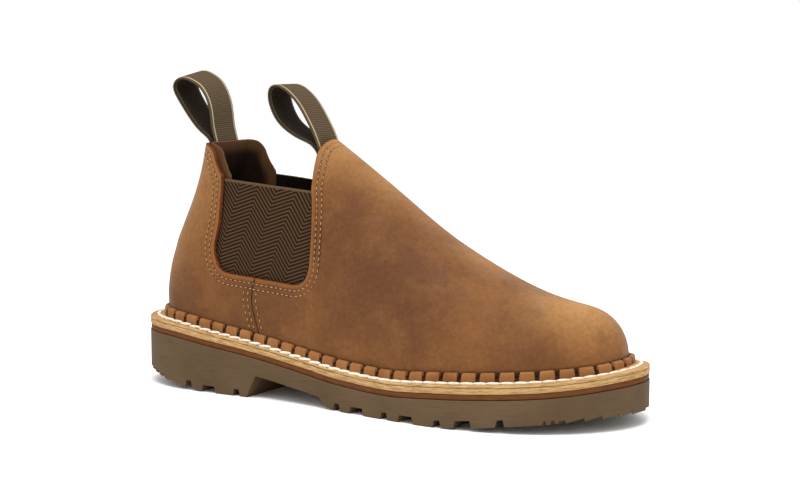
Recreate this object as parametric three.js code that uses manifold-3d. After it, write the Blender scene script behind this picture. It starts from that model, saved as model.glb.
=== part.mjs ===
// Side gore work boot, right shoe, standing empty on its sole.
// Millimetres. +X points to the toe, +Y to the medial side, +Z up, floor at z = 0.
// While it is modelled, x = 0 is the back of the outsole. The group then moves to the box's centre.

import * as THREE from "three";
import { mergeVertices } from "three/addons/utils/BufferGeometryUtils.js";
import Module from "manifold-3d";

const wasm = await Module();
wasm.setup();

// Outsole
const soleLength = 308;
const soleWidth = 106;
const heelHeight = 31;
const archThickness = 9.5;
const breastPlace = 88;
const breastSlope = 6.5;
const archEnd = 139;
const archEndSlope = 6;
const lugDepth = 4;
const lugPitch = 33;
const wideLug = 11.5;
const narrowLug = 6.5;
const narrowGap = 5;
const edgeLugReach = 17;
const channelWidth = 4;
const chevronGap = 4.5;
const chevronSlant = 0.45;
const heelLugStart = 34;
const toeLugLimit = 271;
const toeToothPitch = 10;
const heelToothPitch = 5.5;
const toothDepth = 2;

// Layers above the rubber, bottom to top
const seamGap = 0.3;
const randThickness = 2.9;
const randInset = 0.4;
const midsoleThickness = 2.8;
const weltThickness = 1.4;
const lipHeight = 5.4;
const lipThickness = 3;
const notchPitch = 10;
const notchWidth = 2.8;
const notchDepth = 3.2;

// Last and upper
const lastLength = 284;
const heelSeat = 11;
const ballWidth = 88;
const heelWidth = 64;
const instepHeight = 118;
const shaftHeight = 108.7;
const backLean = 29;
const upperWall = 2.2;
const insoleThickness = 3;

// Collar and gore, as heights above the seat and places along the last
const tabTop = 106.7;
const tabFront = 45;
const tabRounding = 11;
const tabShoulderRun = 2;
const tabShoulderDrop = 7;
const tabSweep = 4;
const tabSweepRise = 5.5;
const goreBack = 53;
const goreFront = 111;
const goreBackHeight = 88.2;
const goreFrontHeight = 83.2;
const goreFootHeight = 32.7;
const goreCorner = 11;
const goreWaist = 4;
const goreWaistHeight = 18;
const goreBackBend = 20;
const goreBackRise = 2;
const goreFrontDrop = 1;
const goreFrontSwell = 5;
const goreFrontBend = 40;
const goreThickness = 1.5;
const goreOverlap = 6;
const vampPeak = 113.2;
const peakLean = 2;
const peakDrop = 9;
const peakRun = 8;

// Pull loops
const tapeWidth = 22;
const tapeThickness = 1.7;
const tapeTail = 15;
const heelLoopHeight = 39;
const frontLoopHeight = 34;
const stemHeight = 7;
const stemCover = 1;

// Share tables. Each row is one station.
const rubberTopTable = [
  // share of soleLength, share of heelHeight
  [0, 1],
  [0.1, 0.974],
  [0.2, 0.858],
  [0.3, 0.729],
  [0.4, 0.584],
  [0.5, 0.458],
  [0.6, 0.413],
  [0.7, 0.471],
  [0.8, 0.535],
  [0.9, 0.61],
  [1, 0.735],
];
const treadTable = [
  // share of soleLength, share of heelHeight: rear bevel, heel flat, forefoot flat, toe spring
  [0, 0.418],
  [0.02, 0.332],
  [0.05, 0.252],
  [0.11, 0.118],
  [0.165, 0.048],
  [0.205, 0],
  [0.3, 0],
  [0.42, 0.091],
  [0.485, 0.021],
  [0.52, 0],
  [0.7, 0],
  [0.78, 0.064],
  [0.84, 0.123],
  [0.93, 0.203],
  [1, 0.241],
];
const soleTable = [
  // share of soleLength; lateral, medial and swing as shares of half soleWidth
  [0, 0, 0, 0],
  [0.012, 0.302, 0.302, 0],
  [0.05, 0.575, 0.575, 0],
  [0.12, 0.726, 0.717, 0],
  [0.22, 0.745, 0.708, 0],
  [0.34, 0.745, 0.66, 0],
  [0.46, 0.821, 0.679, 0],
  [0.58, 0.934, 0.783, 0],
  [0.69, 1.009, 0.915, 0],
  [0.79, 0.981, 0.972, 0.01],
  [0.88, 0.84, 0.877, 0.038],
  [0.945, 0.604, 0.66, 0.085],
  [0.985, 0.302, 0.34, 0.132],
  [1, 0, 0, 0.16],
];
const sectionTable = [
  // share of lastLength; lateral, medial and swing as shares of half ballWidth;
  // crest as share of instepHeight; fullness of the section
  [0.185, 0.716, 0.682, 0, 0, 3.4],
  [0.284, 0.739, 0.659, 0, 0, 3.0],
  [0.382, 0.795, 0.648, 0, 1.019, 2.5],
  [0.479, 0.875, 0.705, 0, 0.896, 2.3],
  [0.574, 0.966, 0.83, 0, 0.747, 2.2],
  [0.669, 1.034, 0.932, 0.007, 0.588, 2.2],
  [0.758, 1.034, 0.966, 0.023, 0.459, 2.3],
  [0.836, 0.955, 0.932, 0.045, 0.369, 2.4],
  [0.903, 0.807, 0.83, 0.08, 0.318, 2.4],
  [0.954, 0.602, 0.659, 0.114, 0.275, 2.4],
  [0.989, 0.364, 0.409, 0.143, 0.183, 2.4],
  [1.003, 0, 0, 0.159, 0.071, 2.4],
];
const ankleRow = 0;
const throatRow = 2;
const backTable = [
  // share of shaftHeight, share of backLean; lateral and medial as shares of half heelWidth
  [0, 0.04, 0.955, 0.92],
  [0.16, 0, 1.0, 0.97],
  [0.3, 0.07, 0.99, 0.96],
  [0.48, 0.3, 0.94, 0.91],
  [0.71, 0.72, 0.865, 0.83],
  [1, 1.07, 0.815, 0.78],
  [1.25, 1.2, 0.8, 0.765],
];

const heelLoopTable = [
  // forward of the stem and up from it, as shares of heelLoopHeight
  [-0.02, 0.06],
  [-0.069, 0.262],
  [-0.092, 0.446],
  [-0.133, 0.615],
  [-0.194, 0.742],
  [-0.286, 0.857],
  [-0.415, 0.935],
  [-0.563, 0.983],
  [-0.692, 0.963],
  [-0.759, 0.871],
  [-0.738, 0.76],
  [-0.655, 0.622],
  [-0.535, 0.455],
  [-0.4, 0.29],
  [-0.265, 0.165],
  [-0.125, 0.055],
];
const frontLoopTable = [
  // forward of the stem and up from it, as shares of frontLoopHeight
  [0, 0.03],
  [-0.09, 0.235],
  [-0.235, 0.485],
  [-0.4, 0.72],
  [-0.59, 0.895],
  [-0.78, 0.985],
  [-0.925, 0.96],
  [-0.965, 0.81],
  [-0.91, 0.61],
  [-0.79, 0.42],
  [-0.6, 0.265],
  [-0.35, 0.14],
  [-0.15, 0.06],
];

// Mesh fineness
const soleSteps = 36;
const frontRows = 27;
const backRows = 9;
const heightRows = 11;
const loopSteps = 26;

// How far cutters reach past what they cut
const reach = 30;

function naturalSpline(places, rows) {
  const count = places.length;
  const width = rows[0].length;
  const bends = rows.map(() => new Array(width).fill(0));
  for (let column = 0; column < width; column += 1) {
    const slope = new Array(count).fill(0);
    const value = new Array(count).fill(0);
    for (let i = 1; i < count - 1; i += 1) {
      const before = places[i] - places[i - 1];
      const after = places[i + 1] - places[i];
      const rise = (rows[i + 1][column] - rows[i][column]) / after;
      const fall = (rows[i][column] - rows[i - 1][column]) / before;
      const pivot = 2 * (before + after) - before * slope[i - 1];
      slope[i] = after / pivot;
      value[i] = (6 * (rise - fall) - before * value[i - 1]) / pivot;
    }
    for (let i = count - 2; i > 0; i -= 1) {
      bends[i][column] = value[i] - slope[i] * bends[i + 1][column];
    }
  }
  return (place) => {
    let i = 0;
    while (i < count - 2 && place > places[i + 1]) i += 1;
    const step = places[i + 1] - places[i];
    const left = places[i + 1] - place;
    const right = place - places[i];
    return rows[i].map((start, column) => {
      const end = rows[i + 1][column];
      const bendStart = bends[i][column];
      const bendEnd = bends[i + 1][column];
      return (
        (bendStart * left ** 3 + bendEnd * right ** 3) / (6 * step) +
        (start / step - (bendStart * step) / 6) * left +
        (end / step - (bendEnd * step) / 6) * right
      );
    });
  };
}

// A curve that never swings past its rows, so flat stretches stay flat
function steadyCurve(table) {
  const secant = (i) => (table[i + 1][1] - table[i][1]) / (table[i + 1][0] - table[i][0]);
  const slopes = table.map((row, i) => {
    if (i === 0) return secant(0);
    if (i === table.length - 1) return secant(i - 1);
    const before = secant(i - 1);
    const after = secant(i);
    return before * after > 0 ? (2 * before * after) / (before + after) : 0;
  });
  return (place) => {
    const share = Math.min(Math.max(place, table[0][0]), table[table.length - 1][0]);
    let i = 0;
    while (i < table.length - 2 && share > table[i + 1][0]) i += 1;
    const step = table[i + 1][0] - table[i][0];
    const t = (share - table[i][0]) / step;
    return (
      table[i][1] * (1 + 2 * t) * (1 - t) ** 2 +
      slopes[i] * step * t * (1 - t) ** 2 +
      table[i + 1][1] * t ** 2 * (3 - 2 * t) +
      slopes[i + 1] * step * t ** 2 * (t - 1)
    );
  };
}

const rubberShare = steadyCurve(rubberTopTable);
const treadShare = steadyCurve(treadTable);
const rubberTop = (x) => heelHeight * rubberShare(x / soleLength);
const tread = (x) => heelHeight * treadShare(x / soleLength);
const randTop = (x) => rubberTop(x) + seamGap + randThickness;
const midsoleTop = (x) => randTop(x) + seamGap + midsoleThickness;
const seat = (x) => midsoleTop(x) + seamGap;
const flangeTop = (x) => seat(x) + weltThickness;
const lipTop = (x) => flangeTop(x) + lipHeight;
const plus = (height, rise) => (x) => height(x) + rise;

// Closed meshes as solids

function solidFrom(positions, triangles) {
  const geometry = new THREE.BufferGeometry();
  geometry.setAttribute("position", new THREE.Float32BufferAttribute(positions, 3));
  geometry.setIndex(triangles);
  return solidOf(geometry);
}

function solidOf(geometry) {
  geometry.deleteAttribute("normal");
  geometry.deleteAttribute("uv");
  const merged = mergeVertices(geometry, 1e-4);
  const corners = merged.index.array;
  const kept = [];
  for (let i = 0; i < corners.length; i += 3) {
    const [a, b, c] = [corners[i], corners[i + 1], corners[i + 2]];
    if (a !== b && b !== c && a !== c) kept.push(a, b, c);
  }
  const vertProperties = Float32Array.from(merged.attributes.position.array);
  const triVerts = Uint32Array.from(kept);
  return new wasm.Manifold(new wasm.Mesh({ numProp: 3, vertProperties, triVerts }));
}

// Rings stacked into a closed body. Ring points run heel to toe on the lateral side and back
// on the medial side, so each cap is a strip between the two sides.
function stackRings(rings) {
  const around = rings[0].length;
  const half = around / 2;
  const positions = rings.flat(2);
  const triangles = [];
  for (let level = 0; level < rings.length - 1; level += 1) {
    for (let i = 0; i < around; i += 1) {
      const next = (i + 1) % around;
      const a = level * around + i;
      const b = level * around + next;
      const c = (level + 1) * around + next;
      const d = (level + 1) * around + i;
      triangles.push(a, b, c, a, c, d);
    }
  }
  const last = (rings.length - 1) * around;
  for (let i = 0; i < half; i += 1) {
    const a = i;
    const b = i + 1;
    const c = (around - b) % around;
    const d = (around - a) % around;
    triangles.push(a, c, b, a, d, c);
    triangles.push(last + a, last + b, last + c, last + a, last + c, last + d);
  }
  return solidFrom(positions, triangles);
}

// Sole outline

const soleSpline = naturalSpline(soleTable.map((row, i) => i), soleTable);

function soleRing() {
  const lateral = [];
  const medial = [];
  for (let i = 0; i <= soleSteps; i += 1) {
    const [share, out, inner, swing] = soleSpline((i / soleSteps) * (soleTable.length - 1));
    const x = share * soleLength;
    const half = soleWidth / 2;
    lateral.push([x, (swing - Math.max(out, 0)) * half]);
    medial.push([x, (swing + Math.max(inner, 0)) * half]);
  }
  return lateral.concat(medial.slice(1, -1).reverse());
}

const outline = soleRing();

function insetRing(ring, inset) {
  const count = ring.length;
  return ring.map(([x, y], i) => {
    const [x0, y0] = ring[(i + count - 1) % count];
    const [x1, y1] = ring[(i + 1) % count];
    const run = Math.hypot(x1 - x0, y1 - y0);
    return [x - ((y1 - y0) / run) * inset, y + ((x1 - x0) / run) * inset];
  });
}

function slab(levels) {
  return stackRings(
    levels.map(({ ring, height }) => ring.map(([x, y]) => [x, y, height(x)])),
  );
}

// A flat outline in the side view, drawn right through from one side to the other
function sideCut(shape, low = -soleWidth, high = soleWidth) {
  const geometry = new THREE.ExtrudeGeometry(shape, {
    depth: high - low,
    bevelEnabled: false,
    curveSegments: 6,
  });
  geometry.rotateX(Math.PI / 2);
  geometry.translate(0, high, 0);
  return solidOf(geometry);
}

function polygonShape(points) {
  return new THREE.Shape(points.map(([x, z]) => new THREE.Vector2(x, z)));
}

function block(size, place, yaw = 0, pitch = 0) {
  const geometry = new THREE.BoxGeometry(...size);
  geometry.rotateY(pitch);
  geometry.rotateZ(yaw);
  geometry.translate(...place);
  return solidOf(geometry);
}

function cutAll(body, cutters) {
  return cutters.reduce((rest, cutter) => rest.subtract(cutter), body);
}

// Outsole

function archCutter() {
  const under = (x) => rubberTop(x) - archThickness;
  const points = [[breastPlace, -reach]];
  const first = breastPlace + breastSlope;
  points.push([breastPlace, tread(breastPlace)]);
  const steps = 6;
  for (let i = 0; i <= steps; i += 1) {
    const x = first + ((archEnd - first) * i) / steps;
    points.push([x, under(x)]);
  }
  points.push([archEnd + archEndSlope, tread(archEnd + archEndSlope)]);
  points.push([archEnd + archEndSlope, -reach]);
  return sideCut(polygonShape(points));
}

// Where the sole's edge is at some x, and which way it runs there
function edgePlace(x, side) {
  const lateral = outline.slice(0, soleSteps + 1);
  const medial = [outline[0], ...outline.slice(soleSteps).reverse()];
  const points = side < 0 ? lateral : medial;
  let i = 0;
  while (i < points.length - 2 && points[i + 1][0] < x) i += 1;
  const [x0, y0] = points[i];
  const [x1, y1] = points[i + 1];
  const t = (x - x0) / (x1 - x0);
  return { y: y0 + (y1 - y0) * t, yaw: Math.atan2(y1 - y0, x1 - x0) };
}

function treadPitch(x) {
  return -Math.atan2(tread(x + 1) - tread(x - 1), 2);
}

// Gaps between lugs along one stretch: wide lug, narrow gap, narrow lug, wide gap
function lugGaps(start, end) {
  const gaps = [];
  for (let x = start; x < end; x += lugPitch) {
    const first = x + wideLug;
    const second = first + narrowGap + narrowLug;
    gaps.push([first, first + narrowGap]);
    gaps.push([second, x + lugPitch]);
  }
  return gaps.filter(([from, to]) => to < end);
}

function edgeGroove([from, to], side) {
  const x = (from + to) / 2;
  const { y, yaw } = edgePlace(x, side);
  const across = 2 * edgeLugReach;
  const tall = lugDepth * 2;
  return block([to - from, across, tall], [x, y, tread(x)], yaw, treadPitch(x));
}

// One arm of a chevron across the middle of the tread, on one side of its ridge line
function chevronArm([from, to], side) {
  const x = (from + to) / 2;
  const { y: outer } = edgePlace(x, -1);
  const { y: inner } = edgePlace(x, 1);
  const middle = (outer + inner) / 2;
  const across = (inner - outer) / 2 - edgeLugReach;
  const place = [x - (across / 2) * Math.tan(chevronSlant), middle + (side * across) / 2, tread(x)];
  const size = [chevronGap, across / Math.cos(chevronSlant) + chevronGap / 2, lugDepth * 2];
  return block(size, place, side * chevronSlant, treadPitch(x));
}

// The channel between the edge lugs and the centre lugs
function channel(start, end, side) {
  const pieces = [];
  const step = 12;
  for (let x = start; x < end; x += step) {
    const middle = Math.min(x + step / 2, end);
    const { y, yaw } = edgePlace(middle, side);
    const place = y - side * (edgeLugReach + channelWidth / 2);
    const size = [step * 1.3, channelWidth, lugDepth * 2];
    pieces.push(block(size, [middle, place, tread(middle)], yaw, treadPitch(middle)));
  }
  return pieces;
}

// Saw teeth across the tread's edge, each cut deeper towards the toe
function sawTeeth(start, end, pitch, side) {
  const teeth = [];
  const slant = Math.atan2(toothDepth, pitch);
  for (let x = start + pitch / 2; x < end; x += pitch) {
    const { y, yaw } = edgePlace(x, side);
    const size = [pitch, 2 * edgeLugReach, 2 * toothDepth];
    const place = [x, y, tread(x) - toothDepth / 2];
    teeth.push(block(size, place, yaw, treadPitch(x) - slant));
  }
  return teeth;
}

function outsole() {
  const body = slab([
    { ring: outline, height: tread },
    { ring: outline, height: rubberTop },
  ]);
  const gaps = [
    ...lugGaps(heelLugStart, breastPlace + narrowGap),
    ...lugGaps(archEnd, toeLugLimit),
  ];
  const cutters = [archCutter(), ...gaps.flatMap((gap) => [chevronArm(gap, -1), chevronArm(gap, 1)])];
  for (const side of [-1, 1]) {
    cutters.push(...gaps.map((gap) => edgeGroove(gap, side)));
    cutters.push(...channel(heelLugStart - wideLug, breastPlace - wideLug, side));
    cutters.push(...channel(archEnd + wideLug, toeLugLimit - wideLug, side));
    cutters.push(...sawTeeth(heelToothPitch / 2, heelLugStart - heelToothPitch, heelToothPitch, side));
    cutters.push(...sawTeeth(toeLugLimit, soleLength - toeToothPitch / 2, toeToothPitch, side));
  }
  return cutAll(body, cutters);
}

// Layers

function rand() {
  const ring = insetRing(outline, randInset);
  return slab([
    { ring, height: plus(rubberTop, seamGap) },
    { ring, height: randTop },
  ]);
}

function midsole() {
  return slab([
    { ring: outline, height: plus(randTop, seamGap) },
    { ring: outline, height: midsoleTop },
  ]);
}

// The last's surface. In front of the ankle it is made of upright sections, each half a
// superellipse from the seat to the crest. Behind it, of level slices round the heel.

const sectionSpline = naturalSpline(
  sectionTable.map((row, i) => i),
  sectionTable.map((row) => [row[0], row[1], row[2], row[3], row[5]]),
);
const crestRows = sectionTable.slice(throatRow);
const crestSpline = naturalSpline(
  crestRows.map((row, i) => i + throatRow),
  crestRows.map((row) => [row[4]]),
);
const backSpline = naturalSpline(
  backTable.map((row) => row[0] * shaftHeight),
  backTable.map((row) => row.slice(1)),
);
const formTop = seatAtAnkle() + shaftHeight * 1.22;
// How far the window's cutter runs past the collar line
const windowOverrun = 1;
const heelRound = 2.3;
const crestSteepening = 0.8;
const leanReach = 95;

function lastPlace(share) {
  return heelSeat + share * lastLength;
}

function ankleX() {
  return lastPlace(sectionTable[ankleRow][0]);
}

function seatAtAnkle() {
  return seat(ankleX());
}

function backLine(height) {
  const [lean, lateral, medial] = backSpline(height);
  return {
    x: heelSeat + lean * backLean,
    lateral: (lateral * heelWidth) / 2,
    medial: (medial * heelWidth) / 2,
  };
}

function smooth(t) {
  const held = Math.min(Math.max(t, 0), 1);
  return held * held * (3 - 2 * held);
}

// Between ankle and throat the crest lies above the collar and rises steeply
function crestHeight(row) {
  if (row >= throatRow) return crestSpline(row)[0] * instepHeight;
  const small = 1e-3;
  const throatX = lastPlace(sectionTable[throatRow][0]);
  const run = throatX - ankleX();
  const rise = (crestSpline(throatRow + small)[0] - crestSpline(throatRow)[0]) * instepHeight;
  const move = (sectionSpline(throatRow + small)[0] - sectionSpline(throatRow)[0]) * lastLength;
  const throatCrest = crestSpline(throatRow)[0] * instepHeight;
  const share = Math.max((lastPlace(sectionSpline(row)[0]) - ankleX()) / run, small);
  const power = (-rise / move) * (run / throatCrest) + (1 - share) * crestSteepening;
  return throatCrest * share ** -power;
}

function frontColumn(row, side) {
  const [share, lateral, medial, swing, fullness] = sectionSpline(row);
  const x = lastPlace(share);
  const base = seat(x);
  const half = Math.max(side < 0 ? lateral : medial, 0) * (ballWidth / 2);
  const crest = Math.max(crestHeight(row), 1e-3);
  const blend = smooth(1 - (x - ankleX()) / leanReach);
  const widthAt = (height) => (side < 0 ? backLine(height).lateral : backLine(height).medial);
  const cut = Math.min(1, (formTop - base) / crest);
  const sweep = Math.asin(cut ** (fullness / 2));
  const column = [];
  for (let j = 0; j < heightRows; j += 1) {
    const t = Math.sin((sweep * j) / (heightRows - 1)) ** (2 / fullness);
    const lean = 1 + (widthAt(crest * t) / widthAt(0) - 1) * blend;
    const across = half * lean * Math.sqrt(Math.max(1 - t ** fullness, 0));
    column.push([x, swing * (ballWidth / 2) + side * across, base + crest * t]);
  }
  return column;
}

function backColumn(angle, side) {
  const along = Math.sin(angle) ** (2 / heelRound);
  const across = Math.max(Math.cos(angle), 0) ** (2 / heelRound);
  const fullness = sectionTable[ankleRow][5];
  const foot = seat(ankleX() - (ankleX() - backLine(0).x) * along);
  const column = [];
  for (let j = 0; j < heightRows; j += 1) {
    const share = (j / (heightRows - 1)) ** (2 / fullness);
    const z = foot + (formTop - foot) * share;
    const line = backLine(z - seatAtAnkle());
    const half = side < 0 ? line.lateral : line.medial;
    column.push([ankleX() - (ankleX() - line.x) * along, side * half * across, z]);
  }
  return column;
}

// Columns from the heel round the lateral side to the toe and back on the medial side
function lastColumns() {
  const side = (sign) => {
    const columns = [];
    for (let i = backRows; i > 0; i -= 1) {
      columns.push(backColumn(((i / backRows) * Math.PI) / 2, sign));
    }
    for (let i = 0; i < frontRows; i += 1) {
      columns.push(frontColumn((i / (frontRows - 1)) * (sectionTable.length - 1), sign));
    }
    return columns;
  };
  const medial = side(1).slice(1, -1).reverse();
  return side(-1).concat(medial);
}

const columns = lastColumns();

// Where the crest runs out at the toe, the surface faces forward and up
const tipNormal = [0.8, 0, 0.6];

function columnNormals() {
  const count = columns.length;
  const half = count / 2;
  return columns.map((column, i) =>
    column.map((point, j) => {
      const ahead = columns[(i + 1) % count][j];
      const behind = columns[(i + count - 1) % count][j];
      const mirror = columns[(count - i) % count];
      const onCrest = j === heightRows - 1 && point[2] < formTop - 1;
      const above = onCrest ? mirror[j - 1] : column[Math.min(j + 1, heightRows - 1)];
      const below = column[Math.max(j - 1, 0)];
      const tip = i === half;
      const along = tip && onCrest
        ? new THREE.Vector3(0, 1, 0)
        : new THREE.Vector3(...ahead).sub(new THREE.Vector3(...behind));
      const up = new THREE.Vector3(...above).sub(new THREE.Vector3(...below));
      if (onCrest) {
        const slope = new THREE.Vector3(...columns[(i + 1) % count][j]);
        slope.sub(new THREE.Vector3(...columns[(i + count - 1) % count][j]));
        const normal = new THREE.Vector3(-slope.z * Math.sign(slope.x), 0, Math.abs(slope.x));
        return tip ? new THREE.Vector3(...tipNormal) : normal.normalize();
      }
      return along.cross(up).normalize();
    }),
  );
}

const normals = columnNormals();

// The last grown outwards by some distance, or shrunk where it is negative, as one closed solid
function form(growth, footDrop = 0) {
  const rings = [];
  for (let j = 0; j < heightRows; j += 1) {
    rings.push(
      columns.map((column, i) => {
        const normal = normals[i][j];
        const lift = j === heightRows - 1 && column[j][2] >= formTop - 1 ? 0 : normal.z * growth;
        const level = j === 0 ? 0 : lift;
        return [
          column[j][0] + normal.x * growth,
          column[j][1] + normal.y * growth,
          column[j][2] + level,
        ];
      }),
    );
  }
  if (footDrop > 0) rings.unshift(rings[0].map(([x, y, z]) => [x, y, z - footDrop]));
  return stackRings(rings);
}

function footRing(growth) {
  return columns.map((column, i) => [
    column[0][0] + normals[i][0].x * growth,
    column[0][1] + normals[i][0].y * growth,
  ]);
}

// A place in the side view, from the heel seat and the height of the seat at the ankle
function sidePlace(along, height) {
  return [heelSeat + along, seatAtAnkle() + height];
}

// Everything above the collar line, both sides alike
function collarCutter() {
  const at = sidePlace;
  const shoulder = at(tabFront + tabShoulderRun, tabTop - tabShoulderDrop);
  const windowBack = at(goreBack + windowOverrun, goreBackHeight);
  const windowFront = at(goreFront - windowOverrun, goreFrontHeight);
  const peakFoot = at(goreFront - peakLean, vampPeak - peakDrop);
  const shape = new THREE.Shape();
  shape.moveTo(...at(-reach, tabTop));
  shape.lineTo(...at(tabFront - tabRounding, tabTop));
  shape.quadraticCurveTo(...at(tabFront, tabTop), ...shoulder);
  shape.quadraticCurveTo(...at(tabFront + tabSweep, goreBackHeight + tabSweepRise), ...windowBack);
  shape.lineTo(...windowFront);
  shape.lineTo(...peakFoot);
  shape.quadraticCurveTo(...at(goreFront - peakLean / 2, vampPeak), ...at(goreFront + peakRun, vampPeak));
  shape.lineTo(...at(goreFront + reach, vampPeak));
  shape.lineTo(...at(goreFront + reach, tabTop + 2 * reach));
  shape.lineTo(...at(-reach, tabTop + 2 * reach));
  return sideCut(shape);
}

// The gore window, widest a little above its foot, grown outwards by some distance
function goreShape(growth, overrun) {
  const at = sidePlace;
  const back = goreBack - growth;
  const front = goreFront + growth;
  const foot = goreFootHeight - growth;
  const corner = goreCorner + growth;
  const waist = at(back - goreWaist, foot + goreWaistHeight);
  const backFoot = foot + goreBackRise;
  const frontFoot = foot - goreFrontDrop;
  const swell = front + goreFrontSwell;
  const shape = new THREE.Shape();
  shape.moveTo(...at(back, goreBackHeight + overrun));
  shape.quadraticCurveTo(...at(back, goreBackHeight - goreBackBend), ...waist);
  shape.quadraticCurveTo(...at(back - goreWaist, backFoot), ...at(back + corner, backFoot));
  shape.lineTo(...at(swell - corner, frontFoot));
  shape.quadraticCurveTo(...at(swell, frontFoot), ...at(swell, foot + corner));
  const frontTop = at(front, goreFrontHeight + overrun);
  shape.quadraticCurveTo(...at(front + goreWaist, foot + goreFrontBend), ...frontTop);
  return shape;
}

function upper() {
  const shell = form(0).subtract(form(-upperWall, reach / 3));
  return shell.subtract(collarCutter()).subtract(sideCut(goreShape(0, windowOverrun)));
}

function gore(side) {
  const outer = upperWall + seamGap;
  const sheet = form(-outer, 1).subtract(form(-outer - goreThickness, reach / 3));
  const low = side < 0 ? -soleWidth : 0;
  const high = side < 0 ? 0 : soleWidth;
  return sheet.intersect(sideCut(goreShape(goreOverlap, 0), low, high));
}

// Welt: a flange outside the upper, and a notched lip that stands against it

function notches() {
  const path = footRing(lipThickness / 2 + seamGap);
  const closed = path.concat([path[0]]);
  const lengths = [0];
  for (let i = 1; i < closed.length; i += 1) {
    const [x0, y0] = closed[i - 1];
    const [x1, y1] = closed[i];
    lengths.push(lengths[i - 1] + Math.hypot(x1 - x0, y1 - y0));
  }
  const total = lengths[lengths.length - 1];
  const count = Math.round(total / notchPitch);
  const cutters = [];
  for (let k = 0; k < count; k += 1) {
    const goal = ((k + 0.5) * total) / count;
    let i = 1;
    while (lengths[i] < goal) i += 1;
    const t = (goal - lengths[i - 1]) / (lengths[i] - lengths[i - 1]);
    const [x0, y0] = closed[i - 1];
    const [x1, y1] = closed[i];
    const x = x0 + (x1 - x0) * t;
    const y = y0 + (y1 - y0) * t;
    const size = [notchWidth, 2.4 * lipThickness, 2 * notchDepth];
    cutters.push(block(size, [x, y, lipTop(x)], Math.atan2(y1 - y0, x1 - x0)));
  }
  return cutters;
}

function welt() {
  const flange = slab([
    { ring: outline, height: seat },
    { ring: outline, height: flangeTop },
  ]);
  const lipRing = footRing(seamGap + lipThickness);
  const lip = slab([
    { ring: lipRing, height: plus(seat, weltThickness / 2) },
    { ring: lipRing, height: lipTop },
  ]);
  const whole = flange.add(lip).subtract(form(seamGap, reach / 3));
  return cutAll(whole, notches());
}

function insole() {
  const ring = footRing(0);
  const board = slab([
    { ring, height: seat },
    { ring, height: plus(seat, insoleThickness) },
  ]);
  return board.intersect(form(-upperWall - seamGap, reach / 3));
}

// Pull loops: a folded tape whose tail is sewn inside the upper and follows its wall

function tapeRing(table, height, stemX, stemZ) {
  const points = table.map(([ahead, up]) => {
    return new THREE.Vector3(stemX + ahead * height, 0, stemZ + up * height);
  });
  const route = new THREE.CatmullRomCurve3(points, true);
  const half = tapeThickness / 2;
  const edge = (offset) => {
    const ring = [];
    for (let i = 0; i < loopSteps; i += 1) {
      const here = route.getPointAt(i / loopSteps);
      const way = route.getTangentAt(i / loopSteps);
      ring.push([here.x + way.z * offset, here.z - way.x * offset]);
    }
    return polygonShape(ring);
  };
  const low = -tapeWidth / 2;
  const high = tapeWidth / 2;
  return sideCut(edge(half), low, high).subtract(sideCut(edge(-half), low - 1, high + 1));
}

// The two ends of the tape side by side, where they meet under the loop
function stem(x, low, high) {
  return block([2 * tapeThickness, tapeWidth, high - low], [x, 0, (low + high) / 2]);
}

// The sewn tail, which lies along the inside of the wall
function tail(from, to, low, high) {
  const outer = upperWall + seamGap;
  const sheet = form(-outer).subtract(form(-outer - tapeThickness, 1));
  const size = [to - from, tapeWidth, high - low];
  return sheet.intersect(block(size, [(from + to) / 2, 0, (low + high) / 2]));
}

// Where the inside of the back wall is, at some height and some distance from the middle
function innerBack(height, across) {
  const line = backLine(height);
  const half = Math.min(line.lateral, line.medial) - upperWall;
  const depth = ankleX() - line.x - upperWall;
  return ankleX() - depth * (1 - (across / half) ** heelRound) ** (1 / heelRound);
}

function heelPullLoop() {
  const x = innerBack(tabTop, tapeWidth / 2) + tapeThickness + 2 * seamGap;
  const z = seatAtAnkle() + tabTop;
  const sewn = tail(0, x + reach, z - tapeTail, z);
  const sides = stem(x, z + tapeThickness - stemHeight, z + tapeThickness);
  return tapeRing(heelLoopTable, heelLoopHeight, x, z).add(sides).add(sewn);
}

function frontPullLoop() {
  const x = heelSeat + goreFront - peakLean - tapeThickness - seamGap;
  const z = seatAtAnkle() + vampPeak - stemHeight;
  const sewn = tail(x, x + tapeTail, z - 2 * stemHeight, z + 2 * stemHeight);
  const sides = stem(x, z + tapeThickness - stemHeight, z + stemHeight - stemCover);
  return tapeRing(frontLoopTable, frontLoopHeight, x, z).add(sides).add(sewn);
}

// Materials

const leather = new THREE.MeshStandardMaterial({ color: 0xa4703f, roughness: 0.75, metalness: 0 });
const elastic = new THREE.MeshStandardMaterial({ color: 0x4a382c, roughness: 0.9, metalness: 0 });
const rubber = new THREE.MeshStandardMaterial({ color: 0x6f5a47, roughness: 0.8, metalness: 0 });
const weltLeather = new THREE.MeshStandardMaterial({ color: 0xa87445, roughness: 0.7, metalness: 0 });
const tan = new THREE.MeshStandardMaterial({ color: 0xc39a62, roughness: 0.7, metalness: 0 });
const brown = new THREE.MeshStandardMaterial({ color: 0x8d5a31, roughness: 0.6, metalness: 0 });
const webbing = new THREE.MeshStandardMaterial({ color: 0x6f6455, roughness: 0.9, metalness: 0 });
const lining = new THREE.MeshStandardMaterial({ color: 0x3b2b22, roughness: 0.9, metalness: 0 });

function meshOf(name, solid, material) {
  const mesh = solid.getMesh();
  const geometry = new THREE.BufferGeometry();
  geometry.setAttribute("position", new THREE.BufferAttribute(mesh.vertProperties, 3));
  geometry.setIndex(new THREE.BufferAttribute(mesh.triVerts, 1));
  const result = new THREE.Mesh(geometry, material);
  result.name = name;
  return result;
}

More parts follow.
